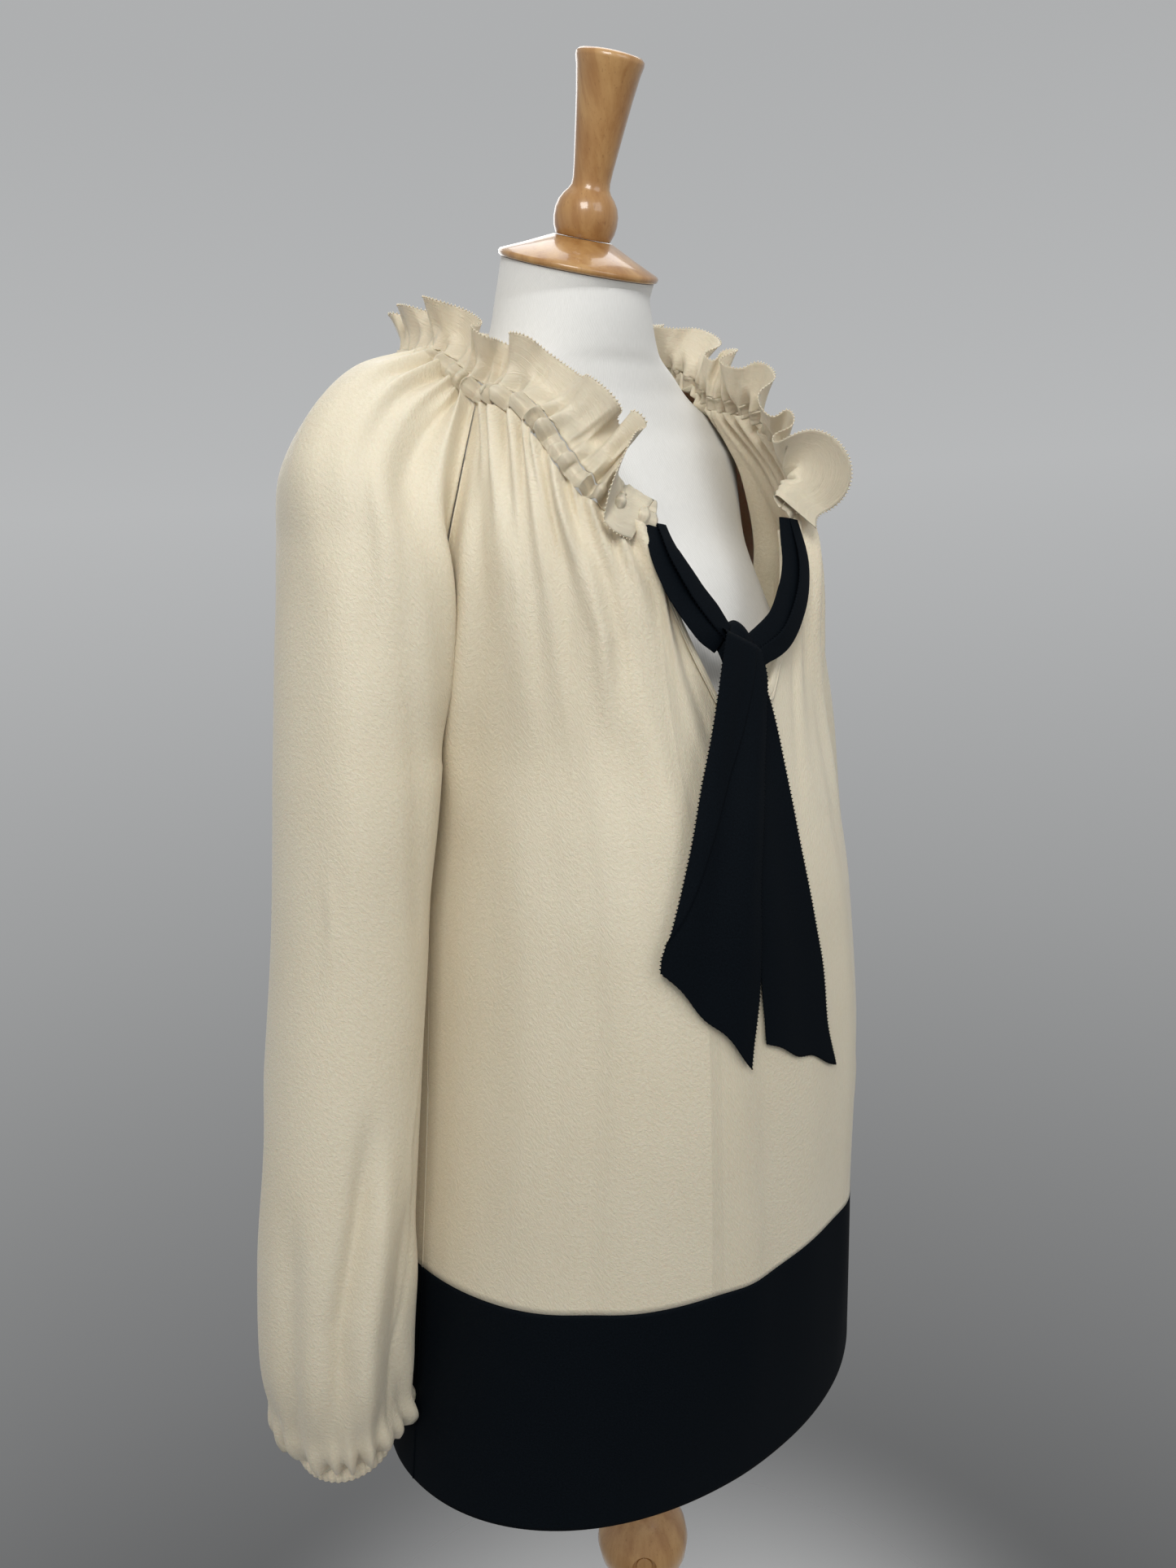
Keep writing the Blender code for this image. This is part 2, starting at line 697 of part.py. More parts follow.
def build_binding(collection):
    """The narrow strip that binds both edges of the front slit, laid on the front."""
    across_all = np.linspace(-SLIT_ACROSS, SLIT_ACROSS, 2 * FRONT_SLIT_STEPS + 1)
    grid = []
    lift_out = CLOTH_WALL + BINDING_LIFT
    for drop in (0.0, 0.5 * BINDING_WIDTH, BINDING_WIDTH):
        line = []
        for across in across_all:
            height = front_top(across) - 0.0002 - drop * 1.35
            line.append(body_point(FRONT_ROWS, True, across, height, lift_out))
        grid.append(line)
    add_sheet("slit_binding", np.array(grid), "cream_crepe", collection, from_axis)


def loft(name, rings, slot, collection):
    """A closed body through rings of points, with flat ends."""
    rings = lift(rings)
    mesh = bmesh.new()
    made = [[mesh.verts.new(point) for point in ring] for ring in rings]
    count = len(made[0])
    for low, high in zip(made[:-1], made[1:], strict=True):
        for place in range(count):
            after = (place + 1) % count
            mesh.faces.new((low[place], low[after], high[after], high[place]))
    mesh.faces.new(made[0][::-1])
    mesh.faces.new(made[-1])
    bmesh.ops.recalc_face_normals(mesh, faces=mesh.faces)
    data = bpy.data.meshes.new(name)
    mesh.to_mesh(data)
    mesh.free()
    return add_object(name, data, slot, collection)


def build_strap(name, rows, collection):
    """A folded strap: a flat rounded section swept from the casing's end to the knot."""
    steps = np.linspace(0.0, 1.0, 7)
    found = [read_step(STRAP_COLUMNS, rows, step) for step in steps]
    centres = np.array([(row["x"], row["y"], row["height"]) for row in found])
    rings = []
    for place, row in enumerate(found):
        low = max(place - 1, 0)
        high = min(place + 1, len(found) - 1)
        along = unit(centres[high] - centres[low])
        deep = unit(np.cross(along, np.cross(np.array((0.0, -1.0, 0.15)), along)))
        wide = unit(np.cross(along, deep))
        ring = []
        for turn in range(12):
            angle = 2 * math.pi * turn / 12
            fold = 0.0012 * math.cos(2 * angle)
            side = wide * row["half_width"] * math.cos(angle)
            thick = deep * (row["half_depth"] * math.sin(angle) + fold)
            ring.append(centres[place] + side + thick)
        rings.append(ring)
    loft(name, np.array(rings), "black_crepe", collection)


def build_knot(collection):
    rings = []
    for level in np.linspace(-1.0, 1.0, 11)[1:-1]:
        spread = math.sqrt(1.0 - level**2) ** 0.8
        ring = []
        for turn in range(14):
            angle = 2 * math.pi * turn / 14
            crease = 1.0 + 0.06 * math.cos(3 * angle + 2.5 * level)
            x = KNOT_HALF_SIZE[0] * spread * crease * math.cos(angle)
            y = KNOT_HALF_SIZE[1] * spread * crease * math.sin(angle)
            z = KNOT_HALF_SIZE[2] * level
            turned_x = x * math.cos(KNOT_LEAN) + z * math.sin(KNOT_LEAN)
            turned_z = z * math.cos(KNOT_LEAN) - x * math.sin(KNOT_LEAN)
            ring.append(np.array(KNOT_CENTRE) + np.array((turned_x, y, turned_z)))
        rings.append(ring)
    loft("tie_knot", np.array(rings), "black_crepe", collection)


def build_tail(name, rows, drop, folds, collection):
    """A tail of the tie: it fans out below the knot and is cut off aslant."""
    grid = []
    for step in np.linspace(0.0, 1.0, 11):
        row = read_step(TAIL_COLUMNS, rows, step)
        line = []
        for side in np.linspace(0.0, 1.0, 11):
            x = row["left_x"] + (row["right_x"] - row["left_x"]) * side
            fall = drop * side * max(0.0, (step - 0.35) / 0.65) ** 1.5
            height = row["height"] - fall
            pleat = row["fold"] * (0.5 + 0.5 * math.sin(2 * math.pi * folds * side))
            line.append((x, chest_y(x, height) - row["stand_off"] - pleat, height))
        grid.append(line)
    add_sheet(name, np.array(grid), "black_crepe", collection, lambda point: np.array((0.0, -1.0, 0.0)))


def form_ring(row, centre_y, steps=36):
    ring = []
    power = 2.0 / row["power"]
    for turn in range(steps):
        angle = 2 * math.pi * turn / steps
        sine = math.copysign(abs(math.sin(angle)) ** power, math.sin(angle))
        cosine = math.copysign(abs(math.cos(angle)) ** power, math.cos(angle))
        depth = row["back"] if sine > 0 else row["front"]
        ring.append((row["half_width"] * cosine, centre_y + depth * sine, row["height"]))
    return np.array(ring)


def neck_axis():
    return np.array((0.0, -math.sin(NECK_TILT), math.cos(NECK_TILT)))


def tilted_ring(centre, radius, steps=36):
    axis = neck_axis()
    side = np.array((1.0, 0.0, 0.0))
    back = np.cross(axis, side)
    turns = 2 * np.pi * np.arange(steps) / steps
    return np.array([centre + radius * (side * math.cos(t) + back * math.sin(t)) for t in turns])


def build_torso(collection):
    rings = []
    first = read_row(FORM_COLUMNS, FORM_ROWS, FORM_ROWS[0][0])
    for shrink, drop in ((0.90, 0.012), (0.965, 0.006)):
        lower = dict(first)
        lower["half_width"] *= shrink
        lower["front"] *= shrink
        lower["back"] *= shrink
        lower["height"] -= drop
        rings.append(form_ring(lower, 0.0))
    for height in np.linspace(FORM_ROWS[0][0], 0.70, 17):
        rings.append(form_ring(read_row(FORM_COLUMNS, FORM_ROWS, height), 0.0))
    for height in np.linspace(0.71, 0.81, 11):
        rings.append(form_ring(read_row(FORM_COLUMNS, FORM_ROWS, height), 0.0))
    last = rings[-1]
    top = tilted_ring(np.array(NECK_TOP), NECK_RADIUS)
    for part in (0.33, 0.66, 1.0):
        rings.append(last + (top - last) * part)
    loft("torso", np.array(rings), "form_cover", collection)


def turned(name, profile, slot, collection, place, tilt=0.0):
    """A turned solid: its outline runs from its top down its outer side and is closed on the axis."""
    points = [(0.0, profile[-1][2])] + [(radius, height) for _, radius, height in profile[::-1]]
    points.append((0.0, profile[0][2]))
    mesh = bmesh.new()
    corners = [mesh.verts.new((radius, 0.0, height)) for radius, height in points]
    for first, second in zip(corners[:-1], corners[1:], strict=True):
        mesh.edges.new((first, second))
    data = bpy.data.meshes.new(name)
    mesh.to_mesh(data)
    mesh.free()
    item = add_object(name, data, slot, collection)
    screw = item.modifiers.new("turn", "SCREW")
    screw.axis = "Z"
    screw.steps = TURN_STEPS
    screw.render_steps = TURN_STEPS
    screw.use_merge_vertices = True
    screw.merge_threshold = 0.00005
    item.rotation_euler = (tilt, 0.0, 0.0)
    item.location = place
    return item


def smooth_profile(profile, steps):
    names = [row[0] for row in profile]
    radii = [row[1] for row in profile]
    heights = [row[2] for row in profile]
    keys = np.arange(len(profile))
    found = []
    for key in np.linspace(0.0, len(profile) - 1, steps):
        radius = float(hermite(keys, radii, key))
        height = float(hermite(keys, heights, key))
        found.append((names[int(key)], radius, height))
    return found


def build_wood(collection):
    top = lift(NECK_TOP) + neck_axis() * SEAM_GAP
    cap = [("rim", 0.0535, 0.0)] + list(CAP_PROFILE)
    turned("neck_cap", cap, "beech_wood", collection, top, NECK_TILT)
    turned("finial", smooth_profile(FINIAL_PROFILE, 17), "beech_wood", collection, top, NECK_TILT)
    centre = HEM_HEIGHT + BALL_CENTRE
    ball = [(name, radius, height) for name, radius, height in BALL_PROFILE[::-1]]
    turned("pole_ball", smooth_profile(ball, 17), "beech_wood", collection, (0.0, 0.0, centre))
    torso_foot = FORM_ROWS[0][0] - 0.012
    upper = [
        ("low", POLE_RADIUS, BALL_PROFILE[0][2] + SEAM_GAP),
        ("high", POLE_RADIUS, torso_foot - BALL_CENTRE - SEAM_GAP),
    ]
    turned("pole_upper", upper, "beech_wood", collection, (0.0, 0.0, centre))
    lower = [
        ("low", POLE_RADIUS, BASE_THICKNESS + SEAM_GAP),
        ("high", POLE_RADIUS, centre + BALL_PROFILE[-1][2] - SEAM_GAP),
    ]
    turned("pole_lower", lower, "beech_wood", collection, (0.0, 0.0, 0.0))
    base = [
        ("foot", BASE_RADIUS - 0.003, 0.0),
        ("low", BASE_RADIUS, 0.003),
        ("side", BASE_RADIUS, 0.016),
        ("shoulder", BASE_RADIUS - 0.006, 0.022),
        ("top", 0.045, BASE_THICKNESS - 0.002),
        ("hub", 0.032, BASE_THICKNESS),
    ]
    turned("base", base, "beech_wood", collection, (0.0, 0.0, 0.0))


def build():
    clear_scene()
    collection = bpy.data.collections.new("ruffle_neck_blouse")
    bpy.context.scene.collection.children.link(collection)
    build_front(collection)
    build_back(collection)
    build_band("band_front", FRONT_ROWS, True, collection)
    build_band("band_back", BACK_ROWS, False, collection)
    build_sleeves(collection)
    build_cuffs(collection)
    build_casing(collection)
    build_ruffle(collection)
    build_binding(collection)
    build_strap("tie_strap_right", RIGHT_STRAP_ROWS, collection)
    build_strap("tie_strap_left", LEFT_STRAP_ROWS, collection)
    build_knot(collection)
    build_tail("tie_tail_front", FRONT_TAIL_ROWS, FRONT_TAIL_DROP, 1.5, collection)
    build_tail("tie_tail_back", BACK_TAIL_ROWS, BACK_TAIL_DROP, 1.0, collection)
    build_torso(collection)
    build_wood(collection)


build()
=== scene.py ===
import math

import bmesh
import bpy
import numpy as np
from mathutils import Matrix, Vector


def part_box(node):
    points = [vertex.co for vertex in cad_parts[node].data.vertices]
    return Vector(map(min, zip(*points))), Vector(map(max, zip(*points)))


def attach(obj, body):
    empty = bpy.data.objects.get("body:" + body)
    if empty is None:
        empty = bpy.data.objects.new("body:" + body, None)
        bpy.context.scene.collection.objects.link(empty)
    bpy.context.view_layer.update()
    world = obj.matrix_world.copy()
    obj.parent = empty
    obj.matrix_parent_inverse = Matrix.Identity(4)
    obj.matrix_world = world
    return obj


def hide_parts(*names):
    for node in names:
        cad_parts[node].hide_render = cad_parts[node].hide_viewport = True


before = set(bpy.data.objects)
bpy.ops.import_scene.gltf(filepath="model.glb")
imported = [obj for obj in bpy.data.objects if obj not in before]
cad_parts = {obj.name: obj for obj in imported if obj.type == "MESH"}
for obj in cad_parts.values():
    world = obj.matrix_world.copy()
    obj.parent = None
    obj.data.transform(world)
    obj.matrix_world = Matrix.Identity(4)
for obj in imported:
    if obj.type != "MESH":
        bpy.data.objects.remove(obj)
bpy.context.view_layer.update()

# heights in every table are measured up from the blouse's hem
hemHeight = 0.600
print("frame loaded")


# shader helpers
class Wire:
    def __init__(self, finish, socket):
        self.finish = finish
        self.socket = socket

    def combine(self, operation, other, turned=False):
        pair = (other, self) if turned else (self, other)
        return self.finish.node("ShaderNodeMath", {"operation": operation}, {0: pair[0], 1: pair[1]})

    def __add__(self, other):
        return self.combine("ADD", other)

    def __radd__(self, other):
        return self.combine("ADD", other)

    def __sub__(self, other):
        return self.combine("SUBTRACT", other)

    def __rsub__(self, other):
        return self.combine("SUBTRACT", other, True)

    def __mul__(self, other):
        return self.combine("MULTIPLY", other)

    def __rmul__(self, other):
        return self.combine("MULTIPLY", other)

    def out(self, name):
        return Wire(self.finish, self.socket.node.outputs[name])


class Finish:
    def __init__(self, name, **shaderValues):
        self.material = bpy.data.materials.new(name)
        self.material.use_nodes = True
        self.tree = self.material.node_tree
        self.shader = self.tree.nodes["Principled BSDF"]
        for socket, value in shaderValues.items():
            self.shader.inputs[socket.replace("_", " ")].default_value = value

    def node(self, kind, settings=None, sockets=None):
        made = self.tree.nodes.new(kind)
        for name, value in (settings or {}).items():
            setattr(made, name, value)
        self.join(made, sockets or {})
        return Wire(self, made.outputs[0])

    def join(self, made, sockets):
        for name, value in sockets.items():
            if isinstance(value, Wire):
                self.tree.links.new(value.socket, made.inputs[name])
            else:
                made.inputs[name].default_value = value

    def feed(self, socket, wire):
        self.tree.links.new(wire.socket, self.shader.inputs[socket])

    def coordinates(self, kind):
        return self.node("ShaderNodeTexCoord").out(kind)

    def noise(self, place, scale, detail, roughness=0.5, distortion=0.0):
        return self.node("ShaderNodeTexNoise", {}, {"Vector": place, "Scale": scale, "Detail": detail,
                                                    "Roughness": roughness, "Distortion": distortion})

    def stretched(self, place, scale, tilt=0.0):
        return self.node("ShaderNodeMapping", {}, {"Vector": place, "Rotation": (tilt, 0, 0), "Scale": scale})

    def spread(self, wire, low, high):
        return self.node("ShaderNodeMapRange", {}, {"Value": wire, "From Min": low, "From Max": high})

    def bump(self, height, strength, distance):
        sockets = {"Height": height, "Strength": strength, "Distance": distance}
        self.feed("Normal", self.node("ShaderNodeBump", {}, sockets))

    def blend(self, factor, first, second):
        made = self.tree.nodes.new("ShaderNodeMix")
        made.data_type = "RGBA"
        # the colour sockets of a Mix node are its seventh and eighth inputs
        self.join(made, {0: factor, 6: first, 7: second})
        return Wire(self, made.outputs[2])


# finishes
creamLook = {
    "lit": (0.800, 0.715, 0.555, 1),
    "deep": (0.735, 0.640, 0.475, 1),
    "grainSize": 0.0023,
    "grainHeight": 0.0010,
    "grainStrength": 0.75,
    "threads": (900, 2600, 1),
    "roughness": 0.36,
}


def creamCrepe():
    finish = Finish("creamCrepe", Sheen_Weight=0.18, Sheen_Roughness=0.45, Specular_IOR_Level=0.42,
                    Subsurface_Weight=0.05, Subsurface_Scale=0.004)
    place = finish.coordinates("UV")
    solid = finish.coordinates("Object")
    pebble = finish.noise(place, 1 / creamLook["grainSize"], 3.0, 0.62, 0.5)
    slub = finish.noise(finish.stretched(place, creamLook["threads"]), 1.0, 2.0)
    cloud = finish.noise(solid, 9.0, 3.0)
    tone = pebble * 0.55 + cloud * 0.35 + slub * 0.10
    share = finish.spread(tone, 0.36, 0.62)
    finish.feed("Base Color", finish.blend(share, creamLook["deep"], creamLook["lit"]))
    finish.feed("Roughness", creamLook["roughness"] + pebble * 0.14)
    finish.bump(pebble * 0.8 + slub * 0.2, creamLook["grainStrength"], creamLook["grainHeight"])
    return finish.material


blackLook = {
    "lit": (0.0032, 0.0056, 0.0088, 1),
    "deep": (0.0010, 0.0022, 0.0038, 1),
    "grainSize": 0.0013,
    "grainHeight": 0.0003,
    "grainStrength": 0.5,
    "threads": (2400, 900, 1),
    "roughness": 0.66,
}


def blackCrepe():
    finish = Finish("blackCrepe", Specular_IOR_Level=0.07)
    place = finish.coordinates("UV")
    pebble = finish.noise(place, 1 / blackLook["grainSize"], 3.0, 0.6)
    slub = finish.noise(finish.stretched(place, blackLook["threads"]), 1.0, 2.0)
    tone = pebble * 0.6 + slub * 0.4
    share = finish.spread(tone, 0.34, 0.66)
    finish.feed("Base Color", finish.blend(share, blackLook["deep"], blackLook["lit"]))
    finish.feed("Roughness", blackLook["roughness"] + pebble * 0.16)
    finish.bump(tone, blackLook["grainStrength"], blackLook["grainHeight"])
    return finish.material


formLook = {
    "knit": (0.86, 0.855, 0.835, 1),
    # colour of the rib grooves, painted shade, and of the darker random yarn streaks
    "grooveShadeAndDarkYarn": (0.76, 0.755, 0.73, 1),
    "ribWidth": 0.0016,
    "ribHeight": 0.00045,
    "ribStrength": 0.45,
    "strokes": (900, 160, 1),
    "roughness": 0.80,
}


def formCover():
    finish = Finish("formCover", Sheen_Weight=0.12, Sheen_Roughness=0.6, Specular_IOR_Level=0.25)
    place = finish.coordinates("UV")
    wobble = finish.noise(place, 55.0, 2.0)
    split = finish.node("ShaderNodeSeparateXYZ", {}, {0: place})
    phase = (split.out("X") + wobble * 0.0012) * (2 * math.pi / formLook["ribWidth"])
    rib = finish.node("ShaderNodeMath", {"operation": "SINE"}, {0: phase}) * 0.5 + 0.5
    stroke = finish.noise(finish.stretched(place, formLook["strokes"]), 1.0, 3.0)
    # the rib wave paints shade into each groove between the ribs; the yarn streaks add random tone
    tone = rib * 0.35 + stroke * 0.65
    share = finish.spread(tone, 0.25, 0.7)
    finish.feed("Base Color", finish.blend(share, formLook["grooveShadeAndDarkYarn"], formLook["knit"]))
    finish.feed("Roughness", formLook["roughness"] + stroke * 0.14)
    finish.bump(tone, formLook["ribStrength"], formLook["ribHeight"])
    return finish.material


woodLook = {
    "light": (0.520, 0.295, 0.110, 1),
    "dark": (0.370, 0.175, 0.052, 1),
    "fleck": (0.22, 0.095, 0.030, 1),
    "grainStretch": (55.0, 55.0, 5.0),
    "rayStretch": (900.0, 900.0, 95.0),
    "rayHeight": 0.0002,
    "rayStrength": 0.10,
    "roughness": 0.26,
    "coat": 0.75,
}


def beechWood(name, tilt=0.0):
    finish = Finish(name, Coat_Roughness=0.10, Coat_IOR=1.48)
    solid = finish.coordinates("Object")
    grain = finish.noise(finish.stretched(solid, woodLook["grainStretch"], tilt), 1.6, 5.0, 0.6, 0.35)
    ray = finish.noise(finish.stretched(solid, woodLook["rayStretch"], tilt), 1.0, 2.0)
    wood = finish.blend(finish.spread(grain, 0.34, 0.66), woodLook["dark"], woodLook["light"])
    fleck = finish.spread(ray, 0.62, 0.74)
    finish.feed("Base Color", finish.blend(fleck * 0.55, wood, woodLook["fleck"]))
    finish.feed("Roughness", woodLook["roughness"] + grain * 0.16)
    finish.feed("Coat Weight", woodLook["coat"] - fleck * 0.3)
    finish.bump(ray, woodLook["rayStrength"], woodLook["rayHeight"])
    return finish.material


cream = creamCrepe()
black = blackCrepe()
cover = formCover()
print("finishes made")


# tables and curves
def smoothCurve(keys, values, key):
    keys = np.asarray(keys, float)
    values = np.asarray(values, float)
    key = np.asarray(key, float)
    rises = np.diff(values) / np.diff(keys)
    same = rises[:-1] * rises[1:] > 0
    total = np.where(same, rises[:-1] + rises[1:], 1.0)
    slopes = np.concatenate((rises[:1], np.where(same, 2 * rises[:-1] * rises[1:] / total, 0.0), rises[-1:]))
    place = np.clip(np.searchsorted(keys, key) - 1, 0, len(keys) - 2)
    span = keys[place + 1] - keys[place]
    part = np.clip((key - keys[place]) / span, 0.0, 1.0)
    first = (2 * part**3 - 3 * part**2 + 1) * values[place]
    leaving = (part**3 - 2 * part**2 + part) * span * slopes[place]
    last = (3 * part**2 - 2 * part**3) * values[place + 1]
    arriving = (part**3 - part**2) * span * slopes[place + 1]
    return first + leaving + last + arriving


def readTable(rows, key):
    table = np.array(sorted(rows), float)
    return [smoothCurve(table[:, 0], table[:, column], key) for column in range(1, table.shape[1])]


def readSteps(rows, step):
    table = np.array(rows, float)
    keys = np.linspace(0.0, 1.0, len(rows))
    return [smoothCurve(keys, table[:, column], step) for column in range(table.shape[1])]


def unitRows(vectors):
    return vectors / np.maximum(np.linalg.norm(vectors, axis=-1, keepdims=True), 1e-9)


def smoothStep(low, high, value):
    part = np.clip((value - low) / (high - low), 0.0, 1.0)
    return part * part * (3 - 2 * part)


def gridNormals(grid, outwardFrom):
    ways = unitRows(np.cross(np.gradient(grid, axis=1), np.gradient(grid, axis=0)))
    facing = np.sum(ways * (grid - outwardFrom), axis=-1)
    return ways * (1.0 if facing.sum() > 0 else -1.0)


# cloth maker
def selectOnly(piece):
    bpy.ops.object.select_all(action="DESELECT")
    piece.select_set(True)
    bpy.context.view_layer.objects.active = piece


def linkNew(name, data):
    made = bpy.data.objects.new(name, data)
    bpy.context.scene.collection.objects.link(made)
    return made


def finishPiece(piece, slotName, *nodes):
    selectOnly(piece)
    bpy.ops.object.shade_smooth()
    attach(piece, "root")
    if nodes:
        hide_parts(*nodes)
    return piece


def meshPiece(name, points, faces, material, uv=None):
    mesh = bpy.data.meshes.new(name)
    mesh.from_pydata(np.asarray(points, float).tolist(), [], [list(map(int, face)) for face in faces])
    if uv is not None:
        layer = mesh.uv_layers.new(name="clothMap")
        index = np.zeros(len(mesh.loops), int)
        mesh.loops.foreach_get("vertex_index", index)
        layer.data.foreach_set("uv", np.asarray(uv, float)[index].ravel())
    mesh.materials.append(material)
    return linkNew(name, mesh)


def applyAll(piece):
    selectOnly(piece)
    for modifier in list(piece.modifiers):
        bpy.ops.object.modifier_apply(modifier=modifier.name)


def weld(piece):
    mesh = bmesh.new()
    mesh.from_mesh(piece.data)
    bmesh.ops.remove_doubles(mesh, verts=mesh.verts, dist=1e-6)
    mesh.to_mesh(piece.data)
    mesh.free()


def turnOutward(piece, closed=False):
    mesh = bmesh.new()
    mesh.from_mesh(piece.data)
    if closed:
        bmesh.ops.holes_fill(mesh, edges=[edge for edge in mesh.edges if edge.is_boundary], sides=0)
    bmesh.ops.recalc_face_normals(mesh, faces=mesh.faces)
    mesh.to_mesh(piece.data)
    mesh.free()


def gridFaces(rowCount, columnCount):
    index = np.arange(rowCount * columnCount).reshape(rowCount, columnCount)
    corners = (index[:-1, :-1], index[:-1, 1:], index[1:, 1:], index[1:, :-1])
    return np.stack(corners, axis=-1).reshape(-1, 4)


# grid is the cloth's outer face, measured from the hem
def clothPiece(name, grid, wall, outwardFrom, material, welded=False):
    grid = np.asarray(grid, float)
    rowCount, columnCount = grid.shape[:2]
    ways = np.cross(grid[1:, :-1] - grid[:-1, :-1], grid[:-1, 1:] - grid[:-1, :-1])
    if np.sum(ways * (grid[:-1, :-1] - outwardFrom)) > 0:
        grid = grid[:, ::-1]
    steps = np.linalg.norm(np.diff(grid, axis=1), axis=-1)
    along = np.concatenate((np.zeros((rowCount, 1)), np.cumsum(steps, axis=1)), axis=1)
    along -= along[:, columnCount // 2][:, None]
    drops = np.linalg.norm(np.diff(grid, axis=0), axis=-1)
    down = np.concatenate((np.zeros((1, columnCount)), np.cumsum(drops, axis=0)), axis=0)
    uv = np.stack((along, -down), axis=-1).reshape(-1, 2)
    faces = gridFaces(rowCount, columnCount)
    piece = meshPiece(name, grid.reshape(-1, 3) + (0, 0, hemHeight), faces, material, uv)
    if welded:
        weld(piece)
    solid = piece.modifiers.new("wall", "SOLIDIFY")
    solid.thickness = wall
    solid.offset = -1.0
    solid.use_quality_normals = True
    applyAll(piece)
    return piece


# body shape
bodyShape = {
    "bandTop": 0.161,
    "seamGap": 0.0004,
    "sideGap": 0.0010,
    "underCasing": 0.0038,
    "crowding": 1.6,
    "panelSteps": (26, 84, 150),
    "bandSteps": (20, 70, 48),
    "hemTurn": 0.012,
    "hemStitch": 0.0011,
    "hemPull": 0.00035,
    "leftTaper": 0.11,
    "leftTaperTop": 0.30,
    "slitAcross": 0.243,
    "wall": 0.0006,
    "front": (
        (0.0000, 0.218, 0.170, 2.05, 0.000), (0.1610, 0.192, 0.180, 2.10, 0.000),
        (0.3000, 0.172, 0.184, 2.35, 0.000), (0.4000, 0.160, 0.181, 2.45, 0.000),
        (0.4700, 0.153, 0.171, 2.50, 0.000), (0.5200, 0.150, 0.160, 2.50, 0.000),
        (0.5700, 0.149, 0.151, 2.50, -0.016), (0.6400, 0.145, 0.144, 2.50, -0.036),
        (0.6900, 0.131, 0.130, 2.50, -0.038), (0.7375, 0.108, 0.112, 2.50, -0.030),
    ),
    "back": (
        (0.0000, 0.218, 0.150, 2.05, 0.000), (0.1610, 0.192, 0.148, 2.10, 0.000),
        (0.3000, 0.172, 0.138, 2.30, 0.000), (0.4000, 0.160, 0.134, 2.40, 0.000),
        (0.5200, 0.150, 0.134, 2.45, 0.000), (0.6200, 0.150, 0.134, 2.45, 0.030),
        (0.7000, 0.131, 0.124, 2.45, 0.050), (0.7720, 0.100, 0.102, 2.40, 0.060),
    ),
    "frontTop": (
        (0.000, 0.5495), (0.045, 0.5515), (0.075, 0.5575), (0.105, 0.5735), (0.170, 0.6040),
        (0.210, 0.6240), (0.243, 0.6550), (0.477, 0.6760), (0.657, 0.7110), (0.760, 0.7275),
        (1.000, 0.7375),
    ),
    "slitShift": 0.040,
    "backTop": ((0.00, 0.766), (0.50, 0.768), (1.00, 0.772)),
}


def bodyPoints(side, across, height, out=0.0):
    front = side == "front"
    halfWidth, depth, power, sideY = readTable(bodyShape[side], height)
    angle = across * math.pi / 2
    sine = np.copysign(np.abs(np.sin(angle)) ** (2 / power), across)
    cosine = np.abs(np.cos(angle)) ** (2 / power)
    way = -1.0 if front else 1.0
    taper = bodyShape["leftTaper"] * np.maximum(0.0, 1.0 - height / bodyShape["leftTaperTop"])
    halfWidth = halfWidth * np.where(across > 0, 1.0 - taper, 1.0)
    x = (halfWidth + out) * sine
    y = sideY + way * (depth - way * sideY + out) * cosine
    return np.stack((x, y, height + 0 * x), axis=-1)


def chestY(x, height):
    halfWidth, depth, power, sideY = readTable(bodyShape["front"], height)
    part = (1.0 - np.abs(x / halfWidth) ** power) ** (1.0 / power)
    return sideY - (depth + sideY) * part


def frontTop(across):
    table = np.array(bodyShape["frontTop"])
    # the knot draws the slit's foot towards the wearer's right
    shift = bodyShape["slitShift"] * np.maximum(0.0, 1.0 - np.abs(across) / bodyShape["slitAcross"])
    return np.interp(np.abs(across + shift), table[:, 0], table[:, 1])


def backTop(across):
    return readTable(bodyShape["backTop"], np.abs(across))[0]


# a fold is a run of (place, height) points, its half width, and how far it stands out (or in, below 0)
def foldField(folds, place, height):
    total = np.zeros(np.broadcast(place, height).shape)
    for run, width, depth in folds:
        run = np.array(sorted(run, key=lambda point: point[1]))
        centre = np.interp(height, run[:, 1], run[:, 0])
        low, high = run[0, 1], run[-1, 1]
        fade = np.clip((height - low) / (high - low), 0, 1)
        window = smoothStep(0.0, 0.35, fade) * smoothStep(0.0, 0.30, 1 - fade)
        total += depth * window * np.exp(-(((place - centre) / width) ** 2))
    return total


